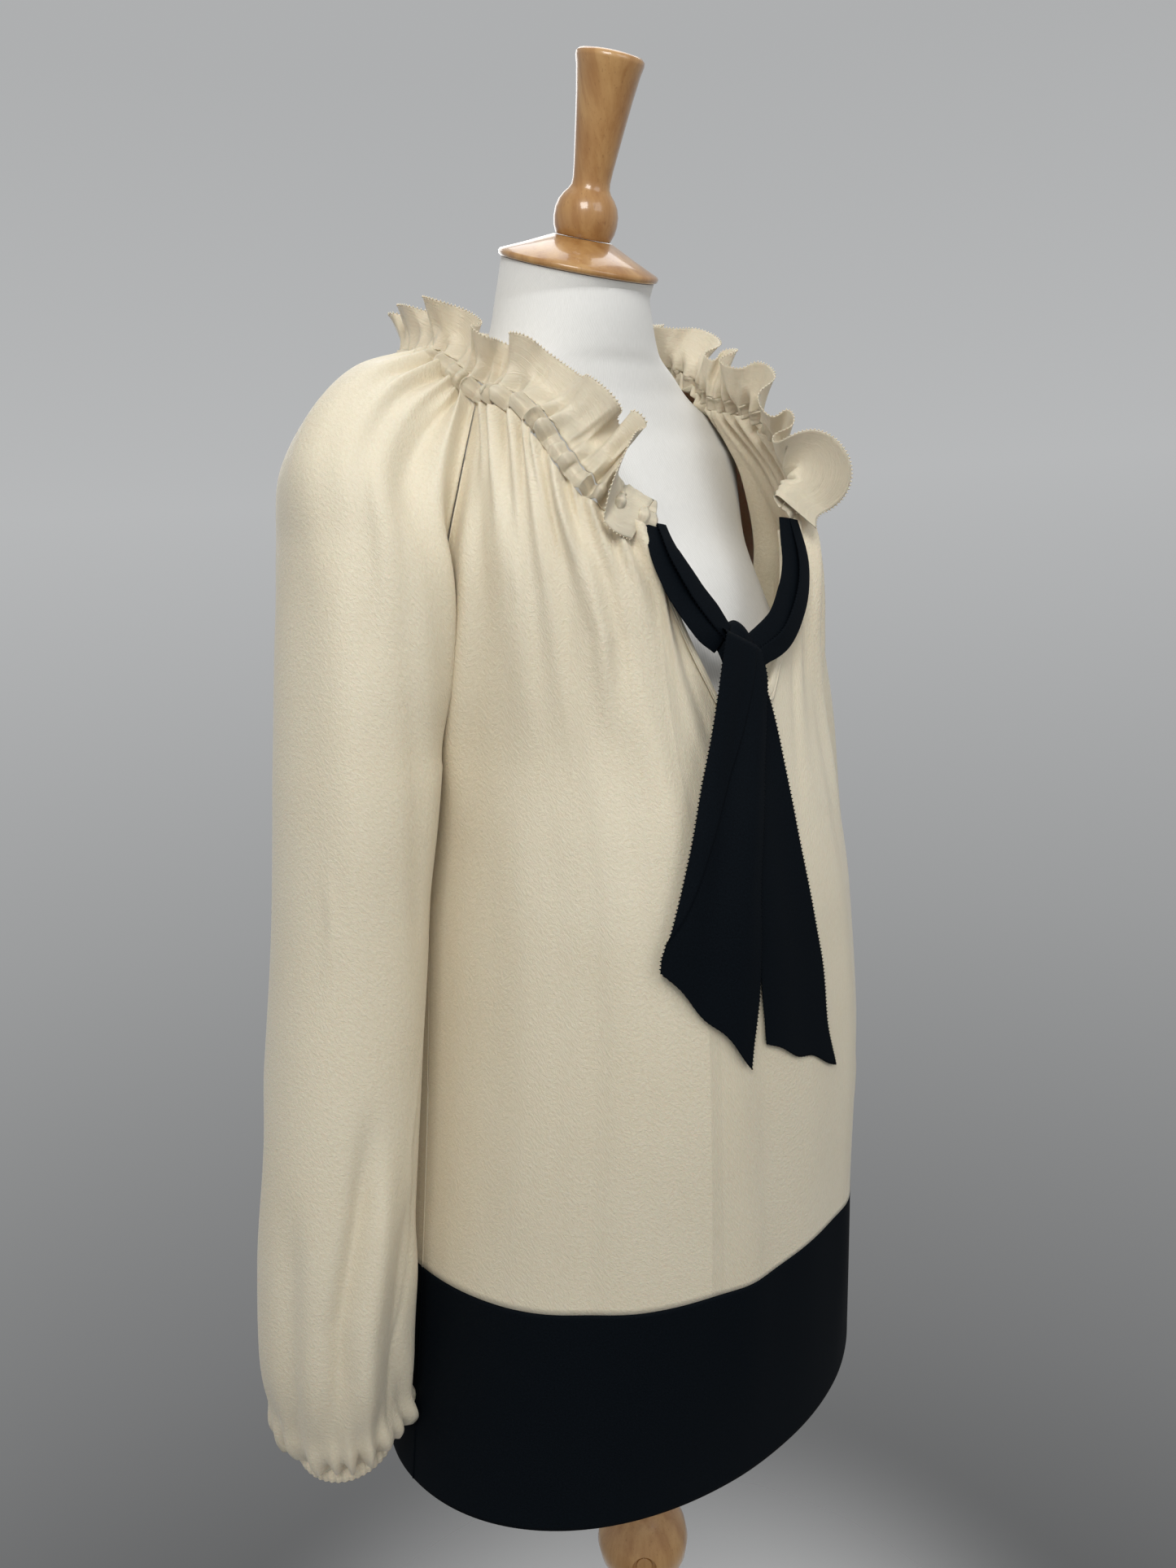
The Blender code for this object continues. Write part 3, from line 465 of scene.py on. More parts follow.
frontFolds = (
    (((-0.93, 0.735), (-0.91, 0.60), (-0.93, 0.46)), 0.045, 0.0050),
    (((-0.86, 0.735), (-0.75, 0.675), (-0.68, 0.62), (-0.66, 0.52)), 0.040, 0.0030),
    (((-0.65, 0.730), (-0.55, 0.675), (-0.475, 0.641), (-0.43, 0.600), (-0.42, 0.53)), 0.030, 0.0062),
    (((-0.58, 0.720), (-0.485, 0.666), (-0.415, 0.631), (-0.375, 0.596), (-0.36, 0.54)), 0.026, -0.0042),
    (((-0.46, 0.690), (-0.36, 0.640), (-0.31, 0.58), (-0.295, 0.50), (-0.32, 0.40)), 0.055, 0.0042),
    (((-0.30, 0.60), (-0.20, 0.50), (-0.17, 0.30), (-0.13, 0.10), (-0.13, -0.04)), 0.060, 0.0030),
    (((-0.56, 0.50), (-0.54, 0.30), (-0.52, 0.02)), 0.075, -0.0022),
    (((-0.74, 0.56), (-0.73, 0.40), (-0.72, 0.12)), 0.070, 0.0020),
    (((0.38, 0.700), (0.33, 0.600), (0.30, 0.42)), 0.045, 0.0045),
    (((0.62, 0.720), (0.52, 0.640), (0.48, 0.50)), 0.035, 0.0050),
    (((0.80, 0.730), (0.72, 0.640), (0.68, 0.48)), 0.040, 0.0034),
    (((0.93, 0.735), (0.91, 0.600), (0.93, 0.46)), 0.045, 0.0050),
    (((0.20, 0.48), (0.24, 0.25), (0.26, -0.03)), 0.070, 0.0034),
    (((0.60, 0.46), (0.58, 0.25), (0.56, 0.00)), 0.080, 0.0026),
)
backFolds = (
    (((-0.90, 0.76), (-0.88, 0.60), (-0.90, 0.44)), 0.050, 0.0044),
    (((-0.60, 0.76), (-0.52, 0.62), (-0.48, 0.30), (-0.47, 0.00)), 0.060, 0.0042),
    (((-0.28, 0.76), (-0.24, 0.60), (-0.20, 0.35)), 0.040, 0.0040),
    (((0.05, 0.76), (0.02, 0.55), (0.03, 0.20), (0.02, -0.03)), 0.055, 0.0038),
    (((0.33, 0.76), (0.29, 0.60), (0.27, 0.34)), 0.040, 0.0040),
    (((0.62, 0.76), (0.55, 0.60), (0.50, 0.30), (0.48, 0.00)), 0.060, 0.0040),
    (((0.90, 0.76), (0.88, 0.60), (0.90, 0.44)), 0.050, 0.0044),
    (((-0.38, 0.42), (-0.34, 0.20), (-0.33, -0.03)), 0.070, -0.0022),
    (((0.36, 0.44), (0.34, 0.20), (0.33, -0.03)), 0.070, -0.0022),
)


# pleats of the neck edge: where each starts on its panel, how deep and wide it is, how far down it runs
def makePleats(seed, first, last, count, depth, width, reach):
    dice = np.random.default_rng(seed)
    step = (last - first) / count
    spots = first + step * (np.arange(count) + 0.5) + dice.uniform(-0.22, 0.22, count) * step
    depths = depth * dice.uniform(0.55, 1.3, count)
    widths = width * dice.uniform(0.75, 1.25, count)
    reaches = reach * dice.uniform(0.45, 1.7, count)
    return list(zip(spots, depths, widths, reaches))


frontPleats = {-1: makePleats(11, 0.26, 0.98, 10, 0.0082, 0.021, 0.062),
               1: makePleats(12, 0.26, 0.98, 10, 0.0082, 0.021, 0.062)}
backPleats = {-1: makePleats(23, 0.02, 0.98, 12, 0.0064, 0.021, 0.055),
              1: makePleats(24, 0.02, 0.98, 12, 0.0064, 0.021, 0.055)}


def pleatShape(offset, width):
    beside = np.exp(-((np.abs(offset) / width - 1.75) / 0.7) ** 2)
    return np.exp(-(np.abs(offset / width) ** 1.7)) - 0.30 * beside


def gatherField(pleats, across, below):
    total = np.zeros(across.shape)
    pull = 0.24 * (1.0 - np.exp(-below / 0.12))
    for sign in (-1, 1):
        origin = across * sign + pull
        for spot, depth, width, reach in pleats[sign]:
            fade = np.exp(-((below / reach) ** 1.3))
            shape = pleatShape(origin - spot, width * (1 + below / 0.09))
            total += depth * shape * fade * (across * sign > 0)
    return total


def sideMask(across):
    return 1.0 - smoothStep(0.955, 1.0, np.abs(across))


def bodyOut(side, across, height):
    folds = frontFolds if side == "front" else backFolds
    top = frontTop(across) if side == "front" else backTop(across)
    pleats = frontPleats if side == "front" else backPleats
    below = np.maximum(0.0, top - height)
    out = foldField(folds, across, height)
    out += gatherField(pleats, across, below)
    return out * sideMask(across)


def crowdSteps(count):
    return 1.0 - (1.0 - np.linspace(0.0, 1.0, count + 1)) ** bodyShape["crowding"]


def acrossSteps(side, slitCount, sideCount):
    if side == "front":
        slit = np.linspace(0.0, bodyShape["slitAcross"], slitCount + 1)
        rest = bodyShape["slitAcross"] + (1 - bodyShape["slitAcross"]) * crowdSteps(sideCount)[1:]
        half = np.concatenate((slit, rest))
    else:
        half = crowdSteps(slitCount + sideCount)
    return np.concatenate((-half[:0:-1], half))


def sidedSheet(name, side, node, wide, tall, out, outwardFrom, material, slotName):
    grid = bodyPoints(side, wide, tall, out)
    way = -1 if side == "front" else 1
    for edge in (0, -1):
        grid[:, edge, 1] += way * bodyShape["sideGap"] / 2
    piece = clothPiece(name, grid, bodyShape["wall"], np.array(outwardFrom), material)
    return finishPiece(piece, slotName, node)


def bodySheet(name, side, node):
    slitSteps, sideSteps, rowSteps = bodyShape["panelSteps"]
    across = acrossSteps(side, slitSteps, sideSteps)[None, :]
    steps = (np.linspace(0.0, 1.0, rowSteps + 1) ** 1.25)[:, None]
    low = bodyShape["bandTop"] + bodyShape["seamGap"] / 2
    # the top edge runs up under the casing, but not along the slit
    if side == "front":
        top = frontTop(across) + bodyShape["underCasing"] * smoothStep(0.25, 0.27, np.abs(across))
    else:
        top = backTop(across) + bodyShape["underCasing"]
    tall = top + (low - top) * steps
    wide = np.broadcast_to(across, tall.shape)
    out = bodyOut(side, wide, tall)
    return sidedSheet(name, side, node, wide, tall, out, (0.0, 0.0, 0.4), cream, "cream_crepe")


def bandSheet(name, side, node):
    slitSteps, sideSteps, rowSteps = bodyShape["bandSteps"]
    across = acrossSteps(side, slitSteps, sideSteps)[None, :]
    height = np.linspace(bodyShape["bandTop"] - bodyShape["seamGap"] / 2, 0.0, rowSteps + 1)[:, None]
    wide, tall = np.broadcast_arrays(across, height)
    # the stitching of the turned-up hem draws the cloth in a little
    stitch = np.exp(-(((tall - bodyShape["hemTurn"]) / bodyShape["hemStitch"]) ** 2))
    out = bodyOut(side, wide, tall) - bodyShape["hemPull"] * stitch
    return sidedSheet(name, side, node, wide, tall, out, (0.0, 0.0, 0.05), black, "black_crepe")


frontPanel = bodySheet("frontPanel", "front", "front")
backPanel = bodySheet("backPanel", "back", "back")
frontBand = bandSheet("frontBand", "front", "band_front")
backBand = bandSheet("backBand", "back", "band_back")
print("body panels and hem bands made")

# sleeves
sleeveShape = {
    "cap": (
        (0.7375, 0.772, 0.1100, 0.022, 0.7660, 0.00), (0.7120, 0.745, 0.1520, 0.018, 0.7570, 0.10),
        (0.6750, 0.710, 0.1900, 0.014, 0.7300, 0.30), (0.6300, 0.660, 0.2140, 0.012, 0.6840, 0.60),
        (0.5750, 0.590, 0.2300, 0.010, 0.6120, 0.85), (0.5200, 0.520, 0.2450, 0.010, 0.5200, 1.00),
    ),
    "tube": (
        (0.520, 0.1980, 0.010, 0.0470, 0.0560), (0.430, 0.2095, 0.012, 0.0470, 0.0560),
        (0.300, 0.2300, 0.016, 0.0490, 0.0570), (0.200, 0.2455, 0.020, 0.0500, 0.0590),
        (0.120, 0.2530, 0.026, 0.0480, 0.0560), (0.070, 0.2510, 0.033, 0.0410, 0.0480),
        (0.040, 0.2470, 0.037, 0.0340, 0.0370),
    ),
    "leftForward": 0.014,
    "leftInward": 0.010,
    "seamOut": -0.0014,
    "wall": 0.0006,
    "cuffPleats": 20,
    "cuffPleatWidth": 0.0115,
    "cuffPleatDepth": 0.0088,
    "puff": 0.0075,
    "capRows": 72,
    "tubeRows": 120,
    "round": 150,
    "folds": (
        (((0.52, 0.795), (0.52, 0.740), (0.52, 0.66)), 0.260, 0.0075),
        (((0.07, 0.76), (0.06, 0.66), (0.05, 0.50)), 0.045, 0.0070),
        (((0.16, 0.75), (0.20, 0.68), (0.23, 0.60), (0.20, 0.48), (0.15, 0.34)), 0.040, -0.0030),
        (((0.52, 0.76), (0.44, 0.70), (0.385, 0.626), (0.355, 0.53), (0.325, 0.36)), 0.060, 0.0036),
        (((0.30, 0.74), (0.31, 0.66), (0.33, 0.56)), 0.030, -0.0020),
        (((0.397, 0.475), (0.385, 0.43), (0.40, 0.395)), 0.012, 0.0012),
        (((0.29, 0.33), (0.30, 0.248), (0.335, 0.175), (0.330, 0.131), (0.360, 0.055)), 0.026, -0.0085),
        (((0.25, 0.30), (0.255, 0.22), (0.275, 0.16), (0.275, 0.11), (0.29, 0.05)), 0.034, 0.0060),
        (((0.44, 0.27), (0.445, 0.20), (0.442, 0.13), (0.44, 0.045)), 0.030, -0.0045),
        (((0.16, 0.26), (0.18, 0.18), (0.20, 0.10), (0.22, 0.045)), 0.030, -0.0050),
        (((0.10, 0.22), (0.11, 0.14), (0.12, 0.05)), 0.030, 0.0030),
        (((0.58, 0.33), (0.60, 0.20), (0.59, 0.05)), 0.040, -0.0055),
        (((0.70, 0.36), (0.72, 0.22), (0.70, 0.05)), 0.035, 0.0040),
        (((0.80, 0.34), (0.82, 0.20), (0.80, 0.05)), 0.038, -0.0060),
        (((0.90, 0.28), (0.91, 0.16), (0.90, 0.05)), 0.035, 0.0035),
        (((0.92, 0.76), (0.93, 0.66), (0.94, 0.54)), 0.045, 0.0050),
        (((0.72, 0.74), (0.70, 0.62), (0.68, 0.46)), 0.050, 0.0034),
    ),
    "seamLine": (
        (0.02, 0.51), (0.12, 0.33), (0.155, 0.28), (0.135, 0.213), (0.160, 0.162), (0.192, 0.128),
        (0.217, 0.05),
    ),
}
cuffShape = {
    "top": 0.0396, "bottom": 0.0280, "gathers": 46, "crimp": 0.0011, "bulge": 0.0014, "wall": 0.0009,
    "centre": (0.2470, 0.037), "halfWidth": 0.0340, "halfDepth": 0.0370, "sway": 0.0032,
}


def bow(start, startWay, end, endWay, handle, part):
    part = part[:, None]
    return ((1 - part) ** 3 * start + 3 * part * (1 - part) ** 2 * (start + startWay * handle)
            + 3 * part**2 * (1 - part) * (end - endWay * handle) + part**3 * end)


def sleeveRow(innerFront, innerBack, outer, turn, halfDepth, half):
    backwards = np.array((0.0, 1.0, 0.0))
    lines = []
    for inner, way in ((innerFront, -1.0), (innerBack, 1.0)):
        reach = outer - inner
        startWay = unitRows((1 - turn) * unitRows(reach) + turn * way * backwards)
        handle = (1 - turn) * np.linalg.norm(reach) * 0.36 + turn * halfDepth * 4 / 3
        lines.append(bow(inner, startWay, outer, -way * backwards, handle, np.linspace(0, 1, half + 1)))
    return np.concatenate((lines[0], lines[1][::-1][1:]))


def smoothSleeve():
    half = sleeveShape["round"] // 2
    seam = np.array((sleeveShape["seamOut"], 0.0, 0.0))
    grid = []
    for step in np.linspace(0.0, 1.0, sleeveShape["capRows"] + 1)[:-1]:
        frontSeam, backSeam, outerX, outerY, outerZ, turn = readSteps(sleeveShape["cap"], step)
        innerFront = bodyPoints("front", np.array(-1.0), frontSeam) + seam
        innerBack = bodyPoints("back", np.array(-1.0), backSeam) + seam
        outer = np.array((-outerX, outerY, outerZ))
        grid.append(sleeveRow(innerFront, innerBack, outer, turn, sleeveShape["tube"][0][4], half))
    for step in np.linspace(0.0, 1.0, sleeveShape["tubeRows"] + 1) ** 0.8:
        height, centreX, centreY, halfWidth, halfDepth = readSteps(sleeveShape["tube"], step)
        inner = np.array((halfWidth - centreX, centreY * (1 - smoothStep(0.42, 0.52, height)), height))
        outer = np.array((-halfWidth - centreX, centreY, height))
        grid.append(sleeveRow(inner, inner, outer, 1.0, halfDepth, half))
    return np.array(grid)


def cuffSway(angle):
    return cuffShape["sway"] * (0.7 * np.sin(angle + 0.9) + 0.45 * np.sin(2 * angle + 0.3))


sleevePleats = makePleats(41, 0.02, 0.98, 11, 0.0072, 0.024, 0.066)


def sleeveGrid(seed):
    grid = smoothSleeve()
    rowCount, columnCount = grid.shape[:2]
    axis = np.zeros_like(grid)
    axis[..., 0] = -0.20
    axis[..., 1] = 0.012
    axis[..., 2] = np.minimum(grid[..., 2], 0.66)
    ways = gridNormals(grid, axis)
    ways[sleeveShape["capRows"]:, 0] = (1, 0, 0)
    ways[sleeveShape["capRows"]:, -1] = (1, 0, 0)
    around = np.broadcast_to(np.linspace(0, 1, columnCount)[None, :], (rowCount, columnCount))
    height = grid[..., 2]
    out = foldField(sleeveShape["folds"], around, height)
    line = np.array(sleeveShape["seamLine"])[::-1]
    seam = np.interp(height, line[:, 1], line[:, 0])
    out -= 0.0007 * np.exp(-(((around - seam) / 0.006) ** 2)) * (height < 0.50)
    out += 0.0006 * np.exp(-(((around - seam - 0.016) / 0.010) ** 2)) * (height < 0.50)
    dice = np.random.default_rng(seed)
    # pleats from the neck edge
    below = np.linalg.norm(np.cumsum(np.gradient(grid, axis=0), axis=0), axis=-1)
    for spot, depth, width, reach in sleevePleats:
        fade = np.exp(-((below / reach) ** 1.3))
        out += depth * pleatShape(around - spot, width * (1 + below / 0.16)) * fade
    # pleats that the cuff draws in
    above = np.maximum(0.0, height - sleeveShape["tube"][-1][0])
    count = sleeveShape["cuffPleats"]
    rise = 0.25 + 0.75 * smoothStep(0.0, 0.008, above)
    for spot in np.linspace(0.025, 0.975, count) + dice.uniform(-0.012, 0.012, count):
        width = sleeveShape["cuffPleatWidth"] * dice.uniform(0.8, 1.3) * (1 + above / 0.055)
        depth = sleeveShape["cuffPleatDepth"] * dice.uniform(0.45, 1.2)
        fade = np.exp(-((above / dice.uniform(0.018, 0.070)) ** 1.3))
        out += depth * pleatShape(around - spot, width) * fade * rise
    # the cloth puffs out over the elastic
    uneven = 0.7 + 0.3 * np.sin(9 * around + 1.0)
    out += sleeveShape["puff"] * np.exp(-(((above - 0.019) / 0.015) ** 2)) * uneven
    edge = smoothStep(0.0, 0.022, around) * smoothStep(0.0, 0.022, 1 - around)
    grid = grid + ways * (out * edge)[..., None]
    # the top edge runs up under the casing
    grid[0] += unitRows(grid[0] - grid[1]) * bodyShape["underCasing"]
    angle = around * 2 * math.pi
    grid[..., 2] += cuffSway(angle) * (1 - smoothStep(0.04, 0.075, height))
    return grid


# the left sleeve hangs a little nearer; its seam edge stays on the body's
def toLeft(grid):
    left = grid * np.array((-1.0, 1.0, 1.0))
    drop = smoothStep(0.0, 1.0, (0.66 - left[..., 2]) / 0.32)
    low = smoothStep(0.0, 1.0, (0.38 - left[..., 2]) / 0.20)
    left[..., 0] -= sleeveShape["leftInward"] * low
    left[..., 1] -= sleeveShape["leftForward"] * drop
    cap = sleeveShape["capRows"]
    for edge in (0, -1):
        left[:cap, edge] = grid[:cap, edge] * (-1, 1, 1)
    return left


rightGrid = sleeveGrid(5)
leftGrid = toLeft(sleeveGrid(8))
sleeveWall = sleeveShape["wall"]
sleeveRight = clothPiece("sleeveRight", rightGrid, sleeveWall, np.array((-0.21, 0.015, 0.35)), cream, True)
sleeveLeft = clothPiece("sleeveLeft", leftGrid, sleeveWall, np.array((0.21, 0.0, 0.35)), cream, True)
finishPiece(sleeveRight, "cream_crepe", "sleeve_right")
finishPiece(sleeveLeft, "cream_crepe", "sleeve_left")


def cuffGrid():
    count = cuffShape["gathers"] * 8
    angle = np.linspace(0, 2 * math.pi, count + 1)[None, :]
    part = np.linspace(0, 1, 13)[:, None]
    uneven = 0.7 * np.sin(3 * angle) + 0.5 * np.sin(7 * angle)
    wave = 0.5 + 0.5 * np.cos(cuffShape["gathers"] * angle + uneven)
    profile = np.sin(math.pi * part) ** 0.7 + 0.12 * np.cos(6 * math.pi * part)
    out = cuffShape["bulge"] * profile - cuffShape["crimp"] * (1 - wave**0.7)
    centreX, centreY = cuffShape["centre"]
    x = -centreX + (cuffShape["halfWidth"] + out) * np.cos(angle)
    y = centreY - (cuffShape["halfDepth"] + out) * np.sin(angle)
    z = cuffShape["top"] + (cuffShape["bottom"] - cuffShape["top"]) * part + cuffSway(angle)
    return np.stack((x, y, z + 0 * x), axis=-1)


cuffWall = cuffShape["wall"]
cuffRight = clothPiece("cuffRight", cuffGrid(), cuffWall, np.array((-0.247, 0.037, 0.034)), cream, True)
cuffLeftGrid = cuffGrid() * (-1, 1, 1) - (sleeveShape["leftInward"], sleeveShape["leftForward"], 0)
cuffLeft = clothPiece("cuffLeft", cuffLeftGrid, cuffWall, np.array((0.237, 0.023, 0.034)), cream, True)
finishPiece(cuffRight, "cream_crepe", "cuff_right")
finishPiece(cuffLeft, "cream_crepe", "cuff_left")
print("sleeves and cuffs made")

# neck edge
neckShape = {
    "casingHeight": 0.013, "casingRise": 0.0018, "casingWall": 0.0007,
    "casingCrimps": 62, "casingCrimp": 0.0017, "casingStitch": 0.0007,
    "steps": 960, "ruffleWall": 0.0005, "ruffleRows": 26, "seed": 31,
    # along runs 0 at a front end to 1 at the centre back: height, lean, how strongly the end flap takes over
    "ruffle": (
        (0.00, 0.046, 1.10, 1.0), (0.06, 0.046, 0.90, 0.95), (0.11, 0.042, 0.35, 0.30),
        (0.16, 0.038, 0.15, 0.0), (0.30, 0.033, 0.35, 0.0), (0.45, 0.030, 0.62, 0.0),
        (1.00, 0.030, 0.55, 0.0),
    ),
    "rightFlap": (-0.74, -0.18, -0.65),
    "leftFlap": (0.60, -0.44, -0.67),
    "lobes": 19, "swing": 0.0105, "roll": 0.0042, "picotSpacing": 0.0026, "picotSize": 0.0010,
}


def runLengths(points):
    return np.concatenate(((0.0,), np.cumsum(np.linalg.norm(np.diff(points, axis=0), axis=1))))


def pointsAt(places, along, points):
    return np.stack([np.interp(places, along, points[:, axis]) for axis in range(3)], axis=1)


def evenSteps(points, count):
    along = runLengths(points)
    return pointsAt(np.linspace(0.0, along[-1], count + 1), along, points)


def soften(points, rounds):
    points = points.copy()
    for _ in range(rounds):
        points[1:-1] = 0.25 * points[:-2] + 0.5 * points[1:-1] + 0.25 * points[2:]
    return points


def neckLine():
    slit = bodyShape["slitAcross"]
    across = np.linspace(-slit, -1.0, 60)
    frontPart = bodyPoints("front", across, frontTop(across))
    topRow = smoothSleeve()[0][1:-1]
    across = np.linspace(-1.0, 0.0, 60)
    backPart = bodyPoints("back", across, backTop(across))
    half = np.concatenate((frontPart, topRow, backPart))
    whole = np.concatenate((half, half[::-1][1:] * (-1, 1, 1)))
    coarse = soften(evenSteps(whole, 120), 2)
    along = soften(np.gradient(coarse, axis=0), 6)
    keys = np.linspace(0, 1, 121)
    fine = np.linspace(0, 1, neckShape["steps"] + 1)
    line, along = (np.stack([smoothCurve(keys, points[:, axis], fine) for axis in range(3)], axis=1)
                   for points in (coarse, along))
    line = soften(line, 30)
    radial = unitRows(np.stack((line[:, 0], line[:, 1] + 0.01, 0 * line[:, 2]), axis=1))
    facing = 0.88 * radial + np.array((0, 0, 0.47))
    up = unitRows(np.cross(facing, along))
    up *= np.sign(up[:, 2:3])
    dot = np.sum(facing * along, axis=1, keepdims=True) / np.sum(along * along, axis=1, keepdims=True)
    return line, up, unitRows(facing - along * dot), unitRows(along)


neck, neckUp, neckOut, neckAlong = neckLine()
fine = np.linspace(0, 1, neckShape["steps"] + 1)


def neckPlace(point):
    return fine[np.argmin(np.linalg.norm(neck - point, axis=1))]


# how far the drawn-up cloth stands out along the neck edge, lined up with the panels' pleats
def neckPleatField():
    found = []
    for sign in (-1, 1):
        for side, pleats, topLine in (("front", frontPleats, frontTop), ("back", backPleats, backTop)):
            for spot, depth, *rest in pleats[sign]:
                found.append((bodyPoints(side, np.array(sign * spot), topLine(sign * spot)), depth))
        top = smoothSleeve()[0] * (-sign, 1, 1)
        for spot, depth, *rest in sleevePleats:
            found.append((top[int(spot * (len(top) - 1))], depth))
    total = np.zeros(len(fine))
    for point, depth in found:
        total += depth * pleatShape(fine - neckPlace(point), 0.0042)
    return total


neckPleats = neckPleatField()


# a wave whose turns are of uneven length, from -1 to 1
def unevenWave(count, seed, wobble):
    dice = np.random.default_rng(seed)
    knots = np.linspace(0, 1, count * 2 + 1)
    knots[1:-1] += dice.uniform(-wobble, wobble, count * 2 - 1) / (count * 2)
    heights = dice.uniform(0.55, 1.0, count * 2 + 1) * np.where(np.arange(count * 2 + 1) % 2, 1, -1)
    return smoothCurve(knots, heights, fine)


neckEnds = smoothStep(0.0, 0.03, fine) * smoothStep(0.0, 0.03, 1 - fine)


def casingGrid():
    crimp = unevenWave(neckShape["casingCrimps"], neckShape["seed"], 0.55)
    second = unevenWave(int(neckShape["casingCrimps"] * 1.6), neckShape["seed"] + 1, 0.5)
    rows = []
    for part in np.linspace(0, 1, 15):
        rise = neckShape["casingHeight"] + (neckShape["casingRise"] - neckShape["casingHeight"]) * part
        tube = 0.0022 * math.sin(math.pi * part) ** 0.6
        twist = crimp * math.cos(1.1 * part) + 0.4 * second * math.sin(2.6 * part + 0.4)
        out = 0.0016 + 0.55 * tube + neckPleats * (0.75 + 0.25 * math.sin(math.pi * part)) * neckEnds
        out = out + neckShape["casingCrimp"] * (0.25 + 0.5 * twist) * (0.4 + 0.6 * math.sin(math.pi * part))
        # two rows of stitching hold the casing
        stitches = sum(math.exp(-(((part - row) / 0.05) ** 2)) for row in (0.12, 0.90))
        out = out - neckShape["casingStitch"] * stitches
        shear = 0.0016 * second * math.sin(math.pi * part)
        ring = neck + neckUp * (rise + 0.0008 * crimp[:, None] * (0.5 - part)) + neckOut * out[:, None]
        rows.append(ring + neckAlong * shear[:, None])
    return np.array(rows)


casing = clothPiece("neckCasing", casingGrid(), neckShape["casingWall"], np.array((0, 0.0, 0.70)), cream)
finishPiece(casing, "cream_crepe", "neck_casing")


def ruffleGrid():
    half = 1.0 - np.abs(2.0 * fine - 1.0)
    height, lean, flap = readTable(neckShape["ruffle"], half)
    right = fine < 0.5
    dice = np.random.default_rng(neckShape["seed"] + 9)
    lobes = neckShape["lobes"]
    knots = np.linspace(0, 1, 2 * lobes + 1)
    knots[1:-1] += dice.uniform(-0.30, 0.30, 2 * lobes - 1) / (2 * lobes)
    phase = smoothCurve(knots, np.arange(2 * lobes + 1.0), fine)
    wave = np.sin(math.pi * phase)
    small = unevenWave(70, neckShape["seed"] + 5, 0.6)
    size = smoothCurve(np.linspace(0, 1, 41), dice.uniform(0.65, 1.2, 41), fine)
    height = height * (1 + 0.12 * wave * (1 - flap)) * (1 + 0.35 * (size - 1) * (1 - flap))
    flapWay = np.where(right[:, None], neckShape["rightFlap"], neckShape["leftFlap"])
    standWay = neckUp * np.cos(lean)[:, None] + neckOut * np.sin(lean)[:, None]
    endWay = unitRows(flap[:, None] * flapWay + (1 - flap[:, None]) * standWay)
    start = neck + neckUp * (neckShape["casingHeight"] + 0.0008)
    rows = [start + neckOut * (0.0014 + 0.8 * neckPleats * neckEnds)[:, None]]
    place = start.copy()
    side = neckOut * np.cos(lean)[:, None] - neckUp * np.sin(lean)[:, None]
    parts = np.linspace(0, 1, neckShape["ruffleRows"])
    for low, high in zip(parts[:-1], parts[1:]):
        part = 0.5 * (low + high)
        share = smoothStep(0.0, 0.42, part)
        way = unitRows((1 - share) * neckUp + share * endWay)
        place = place + way * (height * (high - low))[:, None]
        base = (0.0014 + 0.8 * neckPleats * neckEnds) * (1 - smoothStep(0.0, 0.55, high))
        swing = neckShape["swing"] * wave * size * high**0.9 * (1 - 0.75 * flap)
        swing = swing + 0.0016 * small * math.sin(math.pi * high**0.7) * (1 - 0.5 * flap)
        # each wave leans over its neighbour towards the free edge
        roll = -neckShape["roll"] * np.sin(2 * math.pi * phase) * size * high**1.3 * (1 - flap)
        rows.append(place + side * (swing + base)[:, None] + neckAlong * roll[:, None])
    return np.array(rows[::-1])


ruffleRows = ruffleGrid()
ruffle = clothPiece("neckRuffle", ruffleRows, neckShape["ruffleWall"], np.array((0, 0, 0.72)), cream)
finishPiece(ruffle, "cream_crepe", "neck_ruffle")


# small worked loops in a row along a cloth edge, each a bead of six points
def picots(name, edge, inner, spacing, size, material, slotName):
    along = runLengths(edge)
    places = np.arange(spacing / 2, along[-1], spacing)
    at = pointsAt(places, along, edge)
    back = pointsAt(places, along, inner)
    ahead = pointsAt(places + 0.0005, along, edge)
    out = unitRows(at - back)
    run = unitRows(ahead - at + 1e-9)
    thick = unitRows(np.cross(out, run))
    centre = at + out * size * 0.35
    reaches = (out * size, run * size * 0.62, thick * size * 0.6)
    corners = np.stack([centre + sign * reach for reach in reaches for sign in (1, -1)], axis=1)
    pattern = np.array(((0, 2, 4), (2, 1, 4), (1, 3, 4), (3, 0, 4),
                        (2, 0, 5), (1, 2, 5), (3, 1, 5), (0, 3, 5)))
    faces = (pattern[None] + 6 * np.arange(len(places))[:, None, None]).reshape(-1, 3)
    points = corners.reshape(-1, 3)
    uv = np.stack((points[:, 0], points[:, 2]), axis=1)
    piece = meshPiece(name, points + (0, 0, hemHeight), faces, material, uv)
    turnOutward(piece)
    return finishPiece(piece, slotName)


rufflePicots = picots("rufflePicots", ruffleRows[0], ruffleRows[1], neckShape["picotSpacing"],
                      neckShape["picotSize"], cream, "cream_crepe")
print("neck casing and ruffle made")

# binding of the front slit
bindingShape = {"width": 0.0075, "lift": 0.0023, "inside": 0.011, "wall": 0.0006}


